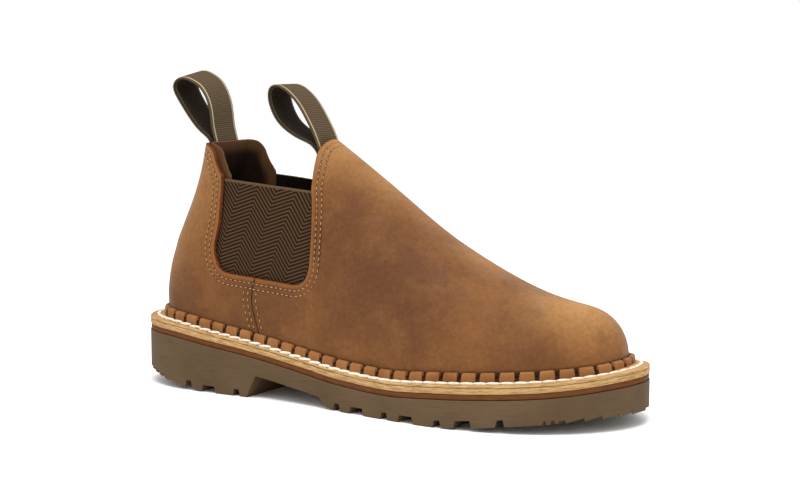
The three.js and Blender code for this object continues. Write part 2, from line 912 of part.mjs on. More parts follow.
const boot = new THREE.Group();
boot.add(meshOf("outsole", outsole(), rubber));
boot.add(meshOf("rand", rand(), brown));
boot.add(meshOf("midsole", midsole(), tan));
boot.add(meshOf("welt", welt(), weltLeather));
boot.add(meshOf("upper", upper(), leather));
boot.add(meshOf("insole", insole(), lining));
boot.add(meshOf("gore_lateral", gore(-1), elastic));
boot.add(meshOf("gore_medial", gore(1), elastic));
boot.add(meshOf("heel_pull_loop", heelPullLoop(), webbing));
boot.add(meshOf("front_pull_loop", frontPullLoop(), webbing));

const box = new THREE.Box3().setFromObject(boot);
boot.position.set(-(box.min.x + box.max.x) / 2, -(box.min.y + box.max.y) / 2, -box.min.z);

export default boot;
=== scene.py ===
# Side gore work boot, right shoe, standing on a pale floor.
# Lengths are millimetres, with x = 0 at the outsole's back, +X to the toe, +Y to the medial side and +Z up.
# place_in_row() turns them into the frame's metres.

import math

import bmesh
import bpy
import numpy as np
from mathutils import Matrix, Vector


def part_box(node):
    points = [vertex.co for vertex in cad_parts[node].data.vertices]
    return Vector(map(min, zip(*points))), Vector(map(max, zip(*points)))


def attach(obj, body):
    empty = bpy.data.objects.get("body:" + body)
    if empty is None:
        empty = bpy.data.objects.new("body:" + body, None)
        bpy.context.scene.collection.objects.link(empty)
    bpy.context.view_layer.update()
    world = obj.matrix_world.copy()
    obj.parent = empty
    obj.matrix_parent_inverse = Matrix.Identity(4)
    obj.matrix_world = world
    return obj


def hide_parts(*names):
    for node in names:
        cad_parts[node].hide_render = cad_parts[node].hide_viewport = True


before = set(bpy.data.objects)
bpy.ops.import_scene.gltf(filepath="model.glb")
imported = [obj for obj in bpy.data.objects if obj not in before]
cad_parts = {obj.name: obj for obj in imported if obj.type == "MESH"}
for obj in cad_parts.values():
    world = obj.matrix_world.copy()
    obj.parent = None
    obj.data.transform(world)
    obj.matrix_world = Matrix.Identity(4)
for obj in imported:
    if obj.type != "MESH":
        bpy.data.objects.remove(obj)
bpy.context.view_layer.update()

MM = 0.001
SMALL = 1e-3
BODY = "root"

# Outsole sizes
SOLE_LENGTH = 308
SOLE_WIDTH = 106
HEEL_HEIGHT = 31
ARCH_THICKNESS = 9.5
BREAST_PLACE = 88
BREAST_SLOPE = 6.5
ARCH_END = 139
ARCH_END_SLOPE = 6
LUG_DEPTH = 4
LUG_PITCH = 33
WIDE_LUG = 11.5
NARROW_LUG = 6.5
NARROW_GAP = 5
EDGE_LUG_REACH = 17
CHANNEL_WIDTH = 4
CHEVRON_GAP = 4.5
CHEVRON_SLANT = 0.45
HEEL_LUG_START = 34
TOE_LUG_LIMIT = 271
TOE_TOOTH_PITCH = 10
SMALL_TOOTH_PITCH = 4
HEEL_TOOTH_PITCH = 5.5
TOOTH_DEPTH = 2
HEEL_TOOTH_SHARE = 0.8
# How far the tread's cutters reach down past it
CUT_BELOW = 6

# Layers above the rubber
SEAM_GAP = 0.3
RAND_THICKNESS = 2.9
RAND_INSET = 0.4
MIDSOLE_THICKNESS = 2.8
WELT_THICKNESS = 1.4
LIP_HEIGHT = 5.4
LIP_THICKNESS = 3
NOTCH_PITCH = 10
NOTCH_DEPTH = 3.2

# Last and upper
LAST_LENGTH = 284
HEEL_SEAT = 11
BALL_WIDTH = 88
HEEL_WIDTH = 64
INSTEP_HEIGHT = 118
SHAFT_HEIGHT = 108.7
# How far up the form goes before the collar is cut, as a share of the shaft's height
FORM_OVERRUN = 1.22
BACK_LEAN = 29
UPPER_WALL = 2.2
INSOLE_THICKNESS = 3

# Collar and gore: places along the last and heights above the seat
TAB_TOP = 106.7
TAB_FRONT = 45
TAB_ROUNDING = 11
TAB_SHOULDER_RUN = 2
TAB_SHOULDER_DROP = 7
TAB_SWEEP = 4
TAB_SWEEP_RISE = 5.5
GORE_BACK = 53
GORE_FRONT = 111
GORE_BACK_HEIGHT = 88.2
GORE_FRONT_HEIGHT = 83.2
GORE_FOOT_HEIGHT = 32.7
GORE_CORNER = 11
GORE_WAIST = 4
GORE_WAIST_HEIGHT = 18
GORE_BACK_BEND = 20
GORE_BACK_RISE = 2
GORE_FRONT_DROP = 1
GORE_FRONT_SWELL = 5
GORE_FRONT_BEND = 40
GORE_THICKNESS = 1.5
GORE_OVERLAP = 6
VAMP_PEAK = 113.2
PEAK_LEAN = 2
PEAK_DROP = 9
PEAK_RUN = 8

# Pull loops
TAPE_WIDTH = 22
TAPE_THICKNESS = 1.7
TAPE_TAIL = 15
TAPE_SQUARENESS = 0.28
RIB_PITCH = 1.1
CORD_PITCH = 0.8
SELVEDGE_INSET = 1.3
HEEL_LOOP_HEIGHT = 39
FRONT_LOOP_HEIGHT = 34
STEM_HEIGHT = 7

RUBBER_TOP_TABLE = [
    # share of sole length, share of heel height
    (0, 1), (0.1, 0.974), (0.2, 0.858), (0.3, 0.729), (0.4, 0.584), (0.5, 0.458),
    (0.6, 0.413), (0.7, 0.471), (0.8, 0.535), (0.9, 0.61), (1, 0.735),
]
TREAD_TABLE = [
    # share of sole length, share of heel height
    (0, 0.418), (0.02, 0.332), (0.05, 0.252), (0.11, 0.118), (0.165, 0.048), (0.205, 0),
    (0.3, 0), (0.42, 0.091), (0.485, 0.021), (0.52, 0), (0.7, 0), (0.78, 0.064),
    (0.84, 0.123), (0.93, 0.203), (1, 0.241),
]
SOLE_TABLE = [
    # share of sole length; lateral, medial and swing as shares of half the sole width
    (0, 0, 0, 0),
    (0.012, 0.302, 0.302, 0),
    (0.05, 0.575, 0.575, 0),
    (0.12, 0.726, 0.717, 0),
    (0.22, 0.745, 0.708, 0),
    (0.34, 0.745, 0.66, 0),
    (0.46, 0.821, 0.679, 0),
    (0.58, 0.934, 0.783, 0),
    (0.69, 1.009, 0.915, 0),
    (0.79, 0.981, 0.972, 0.01),
    (0.88, 0.84, 0.877, 0.038),
    (0.945, 0.604, 0.66, 0.085),
    (0.985, 0.302, 0.34, 0.132),
    (1, 0, 0, 0.16),
]
SECTION_TABLE = [
    # share of last length; lateral, medial and swing as shares of half the ball width;
    # crest as share of instep height; fullness of the section
    (0.185, 0.716, 0.682, 0, 0, 3.4),
    (0.284, 0.739, 0.659, 0, 0, 3.0),
    (0.382, 0.795, 0.648, 0, 1.019, 2.5),
    (0.479, 0.875, 0.705, 0, 0.896, 2.3),
    (0.574, 0.966, 0.83, 0, 0.747, 2.2),
    (0.669, 1.034, 0.932, 0.007, 0.588, 2.2),
    (0.758, 1.034, 0.966, 0.023, 0.459, 2.3),
    (0.836, 0.955, 0.932, 0.045, 0.369, 2.4),
    (0.903, 0.807, 0.83, 0.08, 0.318, 2.4),
    (0.954, 0.602, 0.659, 0.114, 0.275, 2.4),
    (0.989, 0.364, 0.409, 0.143, 0.183, 2.4),
    (1.003, 0, 0, 0.159, 0.071, 2.4),
]
THROAT_ROW = 2
BACK_TABLE = [
    # share of shaft height, share of back lean; lateral and medial as shares of half the heel width
    (0, 0.04, 0.955, 0.92),
    (0.16, 0, 1.0, 0.97),
    (0.3, 0.07, 0.99, 0.96),
    (0.48, 0.3, 0.94, 0.91),
    (0.71, 0.72, 0.865, 0.83),
    (1, 1.07, 0.815, 0.78),
    (1.25, 1.2, 0.8, 0.765),
]
HEEL_LOOP_TABLE = [
    # forward of the stem and up from it, as shares of the loop's height
    (-0.02, 0.06), (-0.069, 0.262), (-0.092, 0.446), (-0.133, 0.615), (-0.194, 0.742), (-0.286, 0.857),
    (-0.415, 0.935), (-0.563, 0.983), (-0.692, 0.963), (-0.759, 0.871), (-0.738, 0.76), (-0.655, 0.622),
    (-0.535, 0.455), (-0.4, 0.29), (-0.265, 0.165), (-0.125, 0.055),
]
FRONT_LOOP_TABLE = [
    # forward of the stem and up from it, as shares of the loop's height
    (0, 0.03), (-0.09, 0.235), (-0.235, 0.485), (-0.4, 0.72), (-0.59, 0.895), (-0.78, 0.985),
    (-0.925, 0.96), (-0.965, 0.81), (-0.91, 0.61), (-0.79, 0.42), (-0.6, 0.265), (-0.35, 0.14),
    (-0.15, 0.06),
]
HEEL_ROUND = 2.3
CREST_STEEPENING = 0.8
LEAN_REACH = 95

# Camera: the photograph's angle, distance and framing
CAMERA_AZIMUTH = 31.5
CAMERA_ELEVATION = 8
CAMERA_DISTANCE = 1.0
CAMERA_LENS = 81.09
CAMERA_SHIFT = (0.021, 0.052)
CAMERA_TARGET = (154, 0, 60)
WORLD_STRENGTH = 1.04
FLOOR_REACH = 6


# Curves through tables

def natural_spline(places, rows):
    places = np.asarray(places, float)
    rows = np.asarray(rows, float)
    count = len(places)
    step = np.diff(places)
    matrix = np.eye(count)
    target = np.zeros_like(rows)
    for i in range(1, count - 1):
        matrix[i, i - 1:i + 2] = step[i - 1], 2 * (step[i - 1] + step[i]), step[i]
        rise = (rows[i + 1] - rows[i]) / step[i]
        fall = (rows[i] - rows[i - 1]) / step[i - 1]
        target[i] = 6 * (rise - fall)
    bends = np.linalg.solve(matrix, target)

    def curve(place):
        place = np.asarray(place, float)
        i = np.clip(np.searchsorted(places, place, side="right") - 1, 0, count - 2)
        h = step[i][..., None]
        left = (places[i + 1] - place)[..., None]
        right = (place - places[i])[..., None]
        cubic = (bends[i] * left**3 + bends[i + 1] * right**3) / (6 * h)
        start = (rows[i] / h - bends[i] * h / 6) * left
        end = (rows[i + 1] / h - bends[i + 1] * h / 6) * right
        return cubic + start + end

    return curve


def steady_curve(table):
    xs, ys = np.asarray(table, float).T
    secant = np.diff(ys) / np.diff(xs)
    slopes = np.zeros(len(xs))
    slopes[0], slopes[-1] = secant[0], secant[-1]
    for i in range(1, len(xs) - 1):
        before, after = secant[i - 1], secant[i]
        if before * after > 0:
            slopes[i] = 2 * before * after / (before + after)

    def curve(place):
        place = np.clip(place, xs[0], xs[-1])
        i = np.clip(np.searchsorted(xs, place, side="right") - 1, 0, len(xs) - 2)
        step = xs[i + 1] - xs[i]
        t = (place - xs[i]) / step
        return (
            ys[i] * (1 + 2 * t) * (1 - t) ** 2
            + slopes[i] * step * t * (1 - t) ** 2
            + ys[i + 1] * t**2 * (3 - 2 * t)
            + slopes[i + 1] * step * t**2 * (t - 1)
        )

    return curve


def smooth(t):
    held = np.clip(t, 0, 1)
    return held * held * (3 - 2 * held)


def run_along(points):
    """How far along a polyline each of its points lies."""
    return np.r_[0, np.cumsum(np.linalg.norm(np.diff(points, axis=0), axis=1))]


def even_places(points, count, closed=False):
    """Points at equal steps along a polyline, where they lie along it, and its length."""
    points = np.asarray(points, float)
    if closed:
        points = np.vstack([points, points[:1]])
    run = run_along(points)
    goals = np.linspace(0, run[-1], count + 1 if closed else count)
    if closed:
        goals = goals[:-1]
    columns = [np.interp(goals, run, points[:, k]) for k in range(points.shape[1])]
    return np.stack(columns, axis=1), goals, run[-1]


def bezier(start, control, end, count=14):
    t = np.linspace(0, 1, count)[:, None]
    return (1 - t) ** 2 * np.array(start) + 2 * t * (1 - t) * np.array(control) + t**2 * np.array(end)


# Heights of the layers

rubber_share = steady_curve(RUBBER_TOP_TABLE)
tread_share = steady_curve(TREAD_TABLE)


def rubber_top(x):
    return HEEL_HEIGHT * rubber_share(np.asarray(x) / SOLE_LENGTH)


def tread(x):
    return HEEL_HEIGHT * tread_share(np.asarray(x) / SOLE_LENGTH)


def rand_top(x):
    return rubber_top(x) + SEAM_GAP + RAND_THICKNESS


def midsole_top(x):
    return rand_top(x) + SEAM_GAP + MIDSOLE_THICKNESS


def seat(x):
    return midsole_top(x) + SEAM_GAP


def flange_top(x):
    return seat(x) + WELT_THICKNESS


# The sole's outline, from the heel round the lateral side, the toe and the medial side

SOLE_POINTS = 920


def soften_ring(ring, rounds):
    for _ in range(rounds):
        ring = (np.roll(ring, 1, 0) + 2 * ring + np.roll(ring, -1, 0)) / 4
    return ring


def sole_outline():
    spline = natural_spline(range(len(SOLE_TABLE)), SOLE_TABLE)
    share, outer, inner, swing = spline(np.linspace(0, len(SOLE_TABLE) - 1, 400)).T
    half = SOLE_WIDTH / 2
    lateral = np.stack([share * SOLE_LENGTH, (swing - np.maximum(outer, 0)) * half], 1)
    medial = np.stack([share * SOLE_LENGTH, (swing + np.maximum(inner, 0)) * half], 1)
    ring, _, _ = even_places(np.vstack([lateral, medial[-2:0:-1]]), SOLE_POINTS, closed=True)
    return soften_ring(ring, 12)


def inward(ring):
    way = np.roll(ring, -1, 0) - np.roll(ring, 1, 0)
    way /= np.linalg.norm(way, axis=1)[:, None]
    return np.stack([-way[:, 1], way[:, 0]], 1)


OUTLINE = sole_outline()
OUTLINE_INWARD = inward(OUTLINE)
_, OUTLINE_ALONG, OUTLINE_LENGTH = even_places(OUTLINE, len(OUTLINE), closed=True)
sole_low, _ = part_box("outsole")
SHIFT = np.array([sole_low[0] / MM, sole_low[1] / MM - OUTLINE[:, 1].min(), 0])


def place_in_row(points):
    return (np.asarray(points, float) + SHIFT) * MM


# The last

section_spline = natural_spline(
    range(len(SECTION_TABLE)),
    [(row[0], row[1], row[2], row[3], row[5]) for row in SECTION_TABLE],
)
crest_spline = natural_spline(
    range(THROAT_ROW, len(SECTION_TABLE)),
    [(row[4],) for row in SECTION_TABLE[THROAT_ROW:]],
)
back_spline = natural_spline(
    [row[0] * SHAFT_HEIGHT for row in BACK_TABLE],
    [row[1:] for row in BACK_TABLE],
)


def last_place(share):
    return HEEL_SEAT + share * LAST_LENGTH


ANKLE_X = last_place(SECTION_TABLE[0][0])
SEAT_AT_ANKLE = float(seat(ANKLE_X))
FORM_TOP = SEAT_AT_ANKLE + SHAFT_HEIGHT * FORM_OVERRUN


def back_line(height):
    lean, lateral, medial = np.moveaxis(back_spline(height), -1, 0)
    x = HEEL_SEAT + lean * BACK_LEAN
    return x, lateral * HEEL_WIDTH / 2, medial * HEEL_WIDTH / 2


def inner_back(height, across):
    """Where the inside of the back wall is, some distance from the middle."""
    line_x, lateral, medial = (float(value) for value in back_line(height))
    half = min(lateral, medial) - UPPER_WALL
    depth = ANKLE_X - line_x - UPPER_WALL
    return ANKLE_X - depth * (1 - (across / half) ** HEEL_ROUND) ** (1 / HEEL_ROUND)


def width_at(height, side):
    return back_line(height)[1 if side < 0 else 2]


def crest_height(row):
    row = np.asarray(row, float)
    ahead = crest_spline(np.maximum(row, THROAT_ROW))[..., 0] * INSTEP_HEIGHT
    throat_x = last_place(SECTION_TABLE[THROAT_ROW][0])
    throat_crest = float(crest_spline(THROAT_ROW)[0]) * INSTEP_HEIGHT
    rise = float(crest_spline(THROAT_ROW + SMALL)[0]) * INSTEP_HEIGHT - throat_crest
    move = (section_spline(THROAT_ROW + SMALL)[0] - section_spline(THROAT_ROW)[0]) * LAST_LENGTH
    run = throat_x - ANKLE_X
    share = np.maximum((last_place(section_spline(row)[..., 0]) - ANKLE_X) / run, SMALL)
    power = (-rise / move) * (run / throat_crest) + (1 - share) * CREST_STEEPENING
    return np.where(row >= THROAT_ROW, ahead, throat_crest * share ** -power)


DENSE_ROWS = np.linspace(0, len(SECTION_TABLE) - 1, 2200)
DENSE_X = last_place(section_spline(DENSE_ROWS)[:, 0])


def row_at(x):
    return np.interp(x, DENSE_X, DENSE_ROWS)


def front_y(x, z, side, row=None):
    """How far out the last is at a place in the side view, in front of the ankle."""
    row = row_at(x) if row is None else row
    _, lateral, medial, swing, fullness = np.moveaxis(section_spline(row), -1, 0)
    half = np.maximum(lateral if side < 0 else medial, 0) * BALL_WIDTH / 2
    crest = np.maximum(crest_height(row), SMALL)
    t = np.clip((z - seat(x)) / crest, 0, 1)
    blend = smooth(1 - (x - ANKLE_X) / LEAN_REACH)
    lean = 1 + (width_at(np.maximum(z - seat(x), 0), side) / width_at(0, side) - 1) * blend
    across = half * lean * np.sqrt(np.maximum(1 - t**fullness, 0))
    return swing * BALL_WIDTH / 2 + side * across


def back_y(x, z, side):
    line_x, lateral, medial = back_line(z - SEAT_AT_ANKLE)
    along = np.clip((ANKLE_X - x) / (ANKLE_X - line_x), 0, 1)
    return side * (lateral if side < 0 else medial) * (1 - along**HEEL_ROUND) ** (1 / HEEL_ROUND)


def heel_shares(angle):
    """How far along and across the rounded back is at an angle from its side."""
    return np.sin(angle) ** (2 / HEEL_ROUND), np.maximum(np.cos(angle), 0) ** (2 / HEEL_ROUND)


def wall_y(x, z, side):
    x, z = np.broadcast_arrays(np.asarray(x, float), np.asarray(z, float))
    return np.where(x >= ANKLE_X, front_y(np.maximum(x, ANKLE_X), z, side), back_y(x, z, side))


def wall_frame(x, z, side):
    """Points on the upper at places in the side view, and the way out of the wall there."""
    e = 0.4
    slope_x = (wall_y(x + e, z, side) - wall_y(x - e, z, side)) / (2 * e)
    slope_z = (wall_y(x, z + e, side) - wall_y(x, z - e, side)) / (2 * e)
    points = np.stack([x, wall_y(x, z, side), z], -1)
    out = np.stack([-side * slope_x, np.full_like(points[..., 1], side), -side * slope_z], -1)
    return points, out / np.linalg.norm(out, axis=-1)[..., None]


# Outlines in the side view

def side_place(along, height):
    return (HEEL_SEAT + along, SEAT_AT_ANKLE + height)


def gore_sides(growth):
    """The window's back edge, foot and front edge in the side view, grown outwards by some distance."""
    at = side_place
    back, front = GORE_BACK - growth, GORE_FRONT + growth
    foot, corner = GORE_FOOT_HEIGHT - growth, GORE_CORNER + growth
    waist = at(back - GORE_WAIST, foot + GORE_WAIST_HEIGHT)
    back_foot, front_foot = foot + GORE_BACK_RISE, foot - GORE_FRONT_DROP
    swell = front + GORE_FRONT_SWELL
    return [
        bezier(at(back, GORE_BACK_HEIGHT), at(back, GORE_BACK_HEIGHT - GORE_BACK_BEND), waist),
        bezier(waist, at(back - GORE_WAIST, back_foot), at(back + corner, back_foot)),
        bezier(at(swell - corner, front_foot), at(swell, front_foot), at(swell, foot + corner)),
        bezier(at(swell, foot + corner), at(front + GORE_WAIST, foot + GORE_FRONT_BEND),
               at(front, GORE_FRONT_HEIGHT)),
    ]


def opening_edge():
    """The edge of the leather from the back tab down round the gore and up to the vamp's peak."""
    at = side_place
    shoulder = at(TAB_FRONT + TAB_SHOULDER_RUN, TAB_TOP - TAB_SHOULDER_DROP)
    peak_foot = at(GORE_FRONT - PEAK_LEAN, VAMP_PEAK - PEAK_DROP)
    top = at(GORE_FRONT - PEAK_LEAN / 2, VAMP_PEAK)
    parts = [
        bezier(at(TAB_FRONT - TAB_ROUNDING, TAB_TOP), at(TAB_FRONT, TAB_TOP), shoulder),
        bezier(shoulder, at(TAB_FRONT + TAB_SWEEP, GORE_BACK_HEIGHT + TAB_SWEEP_RISE),
               at(GORE_BACK, GORE_BACK_HEIGHT + 0.4)),
        *gore_sides(0),
        bezier(peak_foot, top, at(GORE_FRONT + PEAK_RUN, VAMP_PEAK)),
    ]
    return np.vstack(parts)


def opening_region():
    at = side_place
    far = 40
    start = [at(-far, TAB_TOP)]
    end = [at(GORE_FRONT + far, VAMP_PEAK), at(GORE_FRONT + far, TAB_TOP + 2 * far),
           at(-far, TAB_TOP + 2 * far)]
    return np.vstack([start, opening_edge(), end])


def gore_region(growth):
    return np.vstack(gore_sides(growth))


def inside_distance(region, x, z):
    """Distance to a closed outline in the side view, positive inside it."""
    x, z = np.broadcast_arrays(np.asarray(x, float), np.asarray(z, float))
    shape = x.shape
    place = np.stack([x.ravel(), z.ravel()], 1)
    start, end = region, np.roll(region, -1, 0)
    nearest = np.full(len(place), 1e9)
    inside = np.zeros(len(place), bool)
    for (x0, z0), (x1, z1) in zip(start, end):
        along = np.array([x1 - x0, z1 - z0])
        length = along @ along
        if length < 1e-12:
            continue
        t = np.clip(((place[:, 0] - x0) * along[0] + (place[:, 1] - z0) * along[1]) / length, 0, 1)
        gap = np.hypot(place[:, 0] - x0 - t * along[0], place[:, 1] - z0 - t * along[1])
        nearest = np.minimum(nearest, gap)
        if z0 != z1:
            cross = (z0 > place[:, 1]) != (z1 > place[:, 1])
            at_x = x0 + (place[:, 1] - z0) * along[0] / along[1]
            inside ^= cross & (place[:, 0] < at_x)
    return np.where(inside, nearest, -nearest).reshape(shape)


# Meshes

def add_object(name, data):
    made = bpy.data.objects.new(name, data)
    bpy.context.scene.collection.objects.link(made)
    return made


def make_piece(name, points, faces, materials, picks=None, values=None, band=None, sharp=40):
    """A riding mesh object. band gives each point's run along and up a strip, and the strip's length."""
    mesh = bpy.data.meshes.new(name)
    mesh.from_pydata(place_in_row(points).tolist(), [], faces)
    for material in materials:
        mesh.materials.append(material)
    if picks is not None:
        mesh.polygons.foreach_set("material_index", np.asarray(picks, dtype=np.int32))
    for key, numbers in (values or {}).items():
        attribute = mesh.attributes.new(key, "FLOAT", "POINT")
        attribute.data.foreach_set("value", np.asarray(numbers, dtype=np.float32))
    if band is not None:
        lay_band(mesh, *band)
    smooth_shading(mesh, sharp)
    mesh.update()
    made = add_object(name, mesh)
    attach(made, BODY)
    return made


def lay_band(mesh, along, up, total):
    """A map of a strip, without a jump on the faces where the strip closes."""
    corner = np.empty(len(mesh.loops), dtype=np.int32)
    mesh.loops.foreach_get("vertex_index", corner)
    first = np.empty(len(mesh.polygons), dtype=np.int32)
    mesh.polygons.foreach_get("loop_start", first)
    sizes = np.diff(np.r_[first, len(corner)])
    u = np.asarray(along, float)[corner]
    most = np.repeat(np.maximum.reduceat(u, first), sizes)
    u = np.where(u < most - total / 2, u + total, u)
    flat = np.stack([u, np.asarray(up, float)[corner]], 1) * MM
    mesh.uv_layers.new(name="band").data.foreach_set("uv", flat.astype(np.float32).ravel())


def smooth_shading(mesh, sharp):
    mesh.polygons.foreach_set("use_smooth", np.ones(len(mesh.polygons), dtype=bool))
    mesh.set_sharp_from_angle(angle=math.radians(sharp))


def lace(rows, count, closed_rows=False):
    """Quads between rings of points that were stacked one after another."""
    r = np.arange(rows if closed_rows else rows - 1)[:, None]
    i = np.arange(count)[None, :]
    a, b = r * count, ((r + 1) % rows) * count
    j = (i + 1) % count
    return np.stack([a + i, a + j, b + j, b + i], -1).reshape(-1, 4).tolist()


def cap(count, offset, up):
    """A flat strip between the two sides of a ring."""
    faces = []
    for a in range(count // 2):
        b = a + 1
        c, d = (count - b) % count, (count - a) % count
        corners = [a, b, c, d] if up else [d, c, b, a]
        kept = [offset + k for n, k in enumerate(corners) if k not in corners[:n]]
        if len(kept) > 2:
            faces.append(kept)
    return faces


def both_caps(rows, count):
    return cap(count, 0, False) + cap(count, (rows - 1) * count, True)


def ring_points(ring, height):
    return np.column_stack([ring, np.broadcast_to(height, len(ring))])


def grid_normals(grid, closed_crest):
    """Ways out of a grid of columns that run round the boot."""
    count = len(grid)
    along = np.roll(grid, -1, 0) - np.roll(grid, 1, 0)
    up = np.empty_like(grid)
    up[:, 1:-1] = grid[:, 2:] - grid[:, :-2]
    up[:, 0] = grid[:, 1] - grid[:, 0]
    up[:, -1] = grid[:, -1] - grid[:, -2]
    mirror = grid[(count - np.arange(count)) % count]
    up[closed_crest, -1] = mirror[closed_crest, -2] - grid[closed_crest, -2]
    normals = np.cross(along, up)
    normals[count // 2, -1] = TOE_TIP_NORMAL
    length = np.linalg.norm(normals, axis=-1)[..., None]
    return normals / np.maximum(length, 1e-9)


# Which way the toe's tip faces, where the columns meet in one point
TOE_TIP_NORMAL = (0.8, 0, 0.6)
# Each crease's ridges: distance as a share of its half width, and height as a share of its depth
RIDGE_PLACE = 2.1
RIDGE_SHARE = 0.45
# Height above the seat over which creases fade in
CREASE_FADE = 8
# Creases of the upper: start and end in the side view, depth, half width, side
CREASES = [
    ((176, 92), (169, 62), 0.8, 5, -1),
    ((188, 86), (186, 55), 0.7, 5, -1),
    ((199, 76), (203, 50), 0.5, 4, -1),
    ((178, 90), (170, 60), 0.7, 5, 1),
    ((191, 84), (189, 52), 0.7, 5, 1),
    ((28, 62), (55, 52), 0.6, 4, -1),
    ((22, 76), (50, 70), 0.4, 4, -1),
    ((27, 64), (56, 55), 0.6, 4, 1),
    ((132, 96), (150, 62), 0.6, 8, -1),
    ((132, 96), (150, 62), 0.6, 8, 1),
]


def crease_depth(x, z, side):
    """Soft troughs, each with a low ridge on both sides."""
    total = np.zeros_like(x)
    for start, end, depth, half, crease_side in CREASES:
        if crease_side != side:
            continue
        way = np.subtract(end, start)
        length = np.hypot(*way)
        way = way / length
        run = (x - start[0]) * way[0] + (z - start[1]) * way[1]
        off = np.abs((x - start[0]) * way[1] - (z - start[1]) * way[0])
        fade = smooth((run + half) / (2 * half)) * smooth((length + half - run) / (2 * half))
        trough = np.exp(-((off / half) ** 2))
        ridge = np.exp(-(((off - RIDGE_PLACE * half) / half) ** 2))
        total += fade * depth * (RIDGE_SHARE * ridge - trough)
    return total


# The seam between quarter and vamp, under the gore
SEAM_STEP = 0.8
SEAM_LAP_RUN = 16
SEAM_MIDDLE = 91
SEAM_TOP = SEAT_AT_ANKLE + GORE_FOOT_HEIGHT
# How far to each side of the seam the columns bend with it, and over what height they straighten again
SEAM_BEND_REACH = 22
SEAM_BEND_FADE = 14
SEAM_TABLE = [
    # height, place along the shoe
    (36, 93.4), (44, 91.2), (50, 89.4), (58, 89), (66, 90.6), (74, 93),
]
seam_spline = natural_spline([row[0] for row in SEAM_TABLE], [row[1:] for row in SEAM_TABLE])


def seam_x(z):
    return seam_spline(np.clip(z, SEAM_TABLE[0][0], SEAM_TABLE[-1][0]))[..., 0]


def seam_lap(x, z):
    """How far the lap of the side seam lifts the leather in front of it."""
    past = x - seam_x(z)
    lap = np.where(past > 0, SEAM_STEP * (1 - smooth(past / SEAM_LAP_RUN)), 0)
    return lap * smooth((SEAM_TOP + 4 - z) / 3)


def side_columns():
    """Sections from the ankle to the toe at even steps, with close ones at the side seam."""
    share, lateral = section_spline(DENSE_ROWS).T[:2]
    run = run_along(np.stack([last_place(share), lateral * BALL_WIDTH / 2], 1))
    rows = np.interp(np.linspace(0, run[-1], FRONT_COLUMNS), run, DENSE_ROWS)
    close = row_at(SEAM_MIDDLE + np.array([-0.55, -0.12, 0.12, 0.55]))
    kept = rows[(rows < close[0] - 0.02) | (rows > close[-1] + 0.02)]
    return np.sort(np.r_[kept, close])


FRONT_COLUMNS = 158
BACK_COLUMNS = 44
HEIGHT_ROWS = 76


def front_grid(rows, side):
    """Upright columns of the last in front of the ankle, bent to follow the side seam."""
    share, _, _, swing, fullness = section_spline(rows).T
    x = last_place(share)
    base = seat(x)
    crest = np.maximum(crest_height(rows), SMALL)
    cut = np.minimum(1, (FORM_TOP - base) / crest)
    sweep = np.arcsin(cut ** (fullness / 2))
    up = np.linspace(0, 1, HEIGHT_ROWS)
    t = np.sin(sweep[:, None] * up) ** (2 / fullness[:, None])
    z = base[:, None] + crest[:, None] * t
    x = np.broadcast_to(x[:, None], z.shape)
    reach = smooth(1 - np.abs(x - SEAM_MIDDLE) / SEAM_BEND_REACH)
    reach = reach * smooth((SEAM_TOP + SEAM_BEND_FADE - z) / SEAM_BEND_FADE)
    moved = x + reach * (seam_x(z) - SEAM_MIDDLE)
    row = np.broadcast_to(rows[:, None], z.shape)
    y = front_y(moved, z, side, np.where(reach > 0, row_at(moved), row))
    crest_y = (swing * BALL_WIDTH / 2)[:, None]
    at_crest = (up == 1)[None, :] & (cut >= 1)[:, None]
    return np.stack([moved, np.where(at_crest, crest_y, y), z], -1)


def back_grid(side):
    dense = np.linspace(0, math.pi / 2, 600)
    depth = ANKLE_X - float(back_line(0)[0])
    along, across = heel_shares(dense)
    run = run_along(np.stack([depth * along, HEEL_WIDTH / 2 * across], 1))
    along, across = heel_shares(np.interp(np.linspace(run[-1], 0, BACK_COLUMNS + 1)[:-1], run, dense))
    foot = seat(ANKLE_X - depth * along)[:, None]
    share = np.linspace(0, 1, HEIGHT_ROWS) ** (2 / SECTION_TABLE[0][5])
    z = foot + (FORM_TOP - foot) * share
    line_x, lateral, medial = back_line(z - SEAT_AT_ANKLE)
    x = ANKLE_X - (ANKLE_X - line_x) * along[:, None]
    return np.stack([x, side * (lateral if side < 0 else medial) * across[:, None], z], -1)


def last_grid():
    rows = side_columns()
    lateral, medial = (np.concatenate([back_grid(side), front_grid(rows, side)]) for side in (-1, 1))
    return np.concatenate([lateral, medial[-2:0:-1]])


GRID = last_grid()
CLOSED_CREST = GRID[:, -1, 2] < FORM_TOP - 1
NORMALS = grid_normals(GRID, CLOSED_CREST)
GRID_SIDE = np.where(np.arange(len(GRID)) <= len(GRID) // 2, -1, 1)
foot_path, FOOT_RUN, FOOT_LENGTH = even_places(GRID[:, 0, :2], 900, closed=True)
FOOT_RING = soften_ring(foot_path, 4)
FOOT_OUT = -inward(FOOT_RING)


def foot_ring(growth):
    return FOOT_RING + FOOT_OUT * growth


def dressed_grid():
    """The upper's outer surface: the last with its creases and the lap of the side seam."""
    x, z = GRID[..., 0], GRID[..., 2]
    creases = sum(np.where(GRID_SIDE[:, None] == side, crease_depth(x, z, side), 0) for side in (-1, 1))
    lift = creases * smooth((z - seat(x)) / CREASE_FADE) + seam_lap(x, z)
    return GRID + NORMALS * lift[..., None]


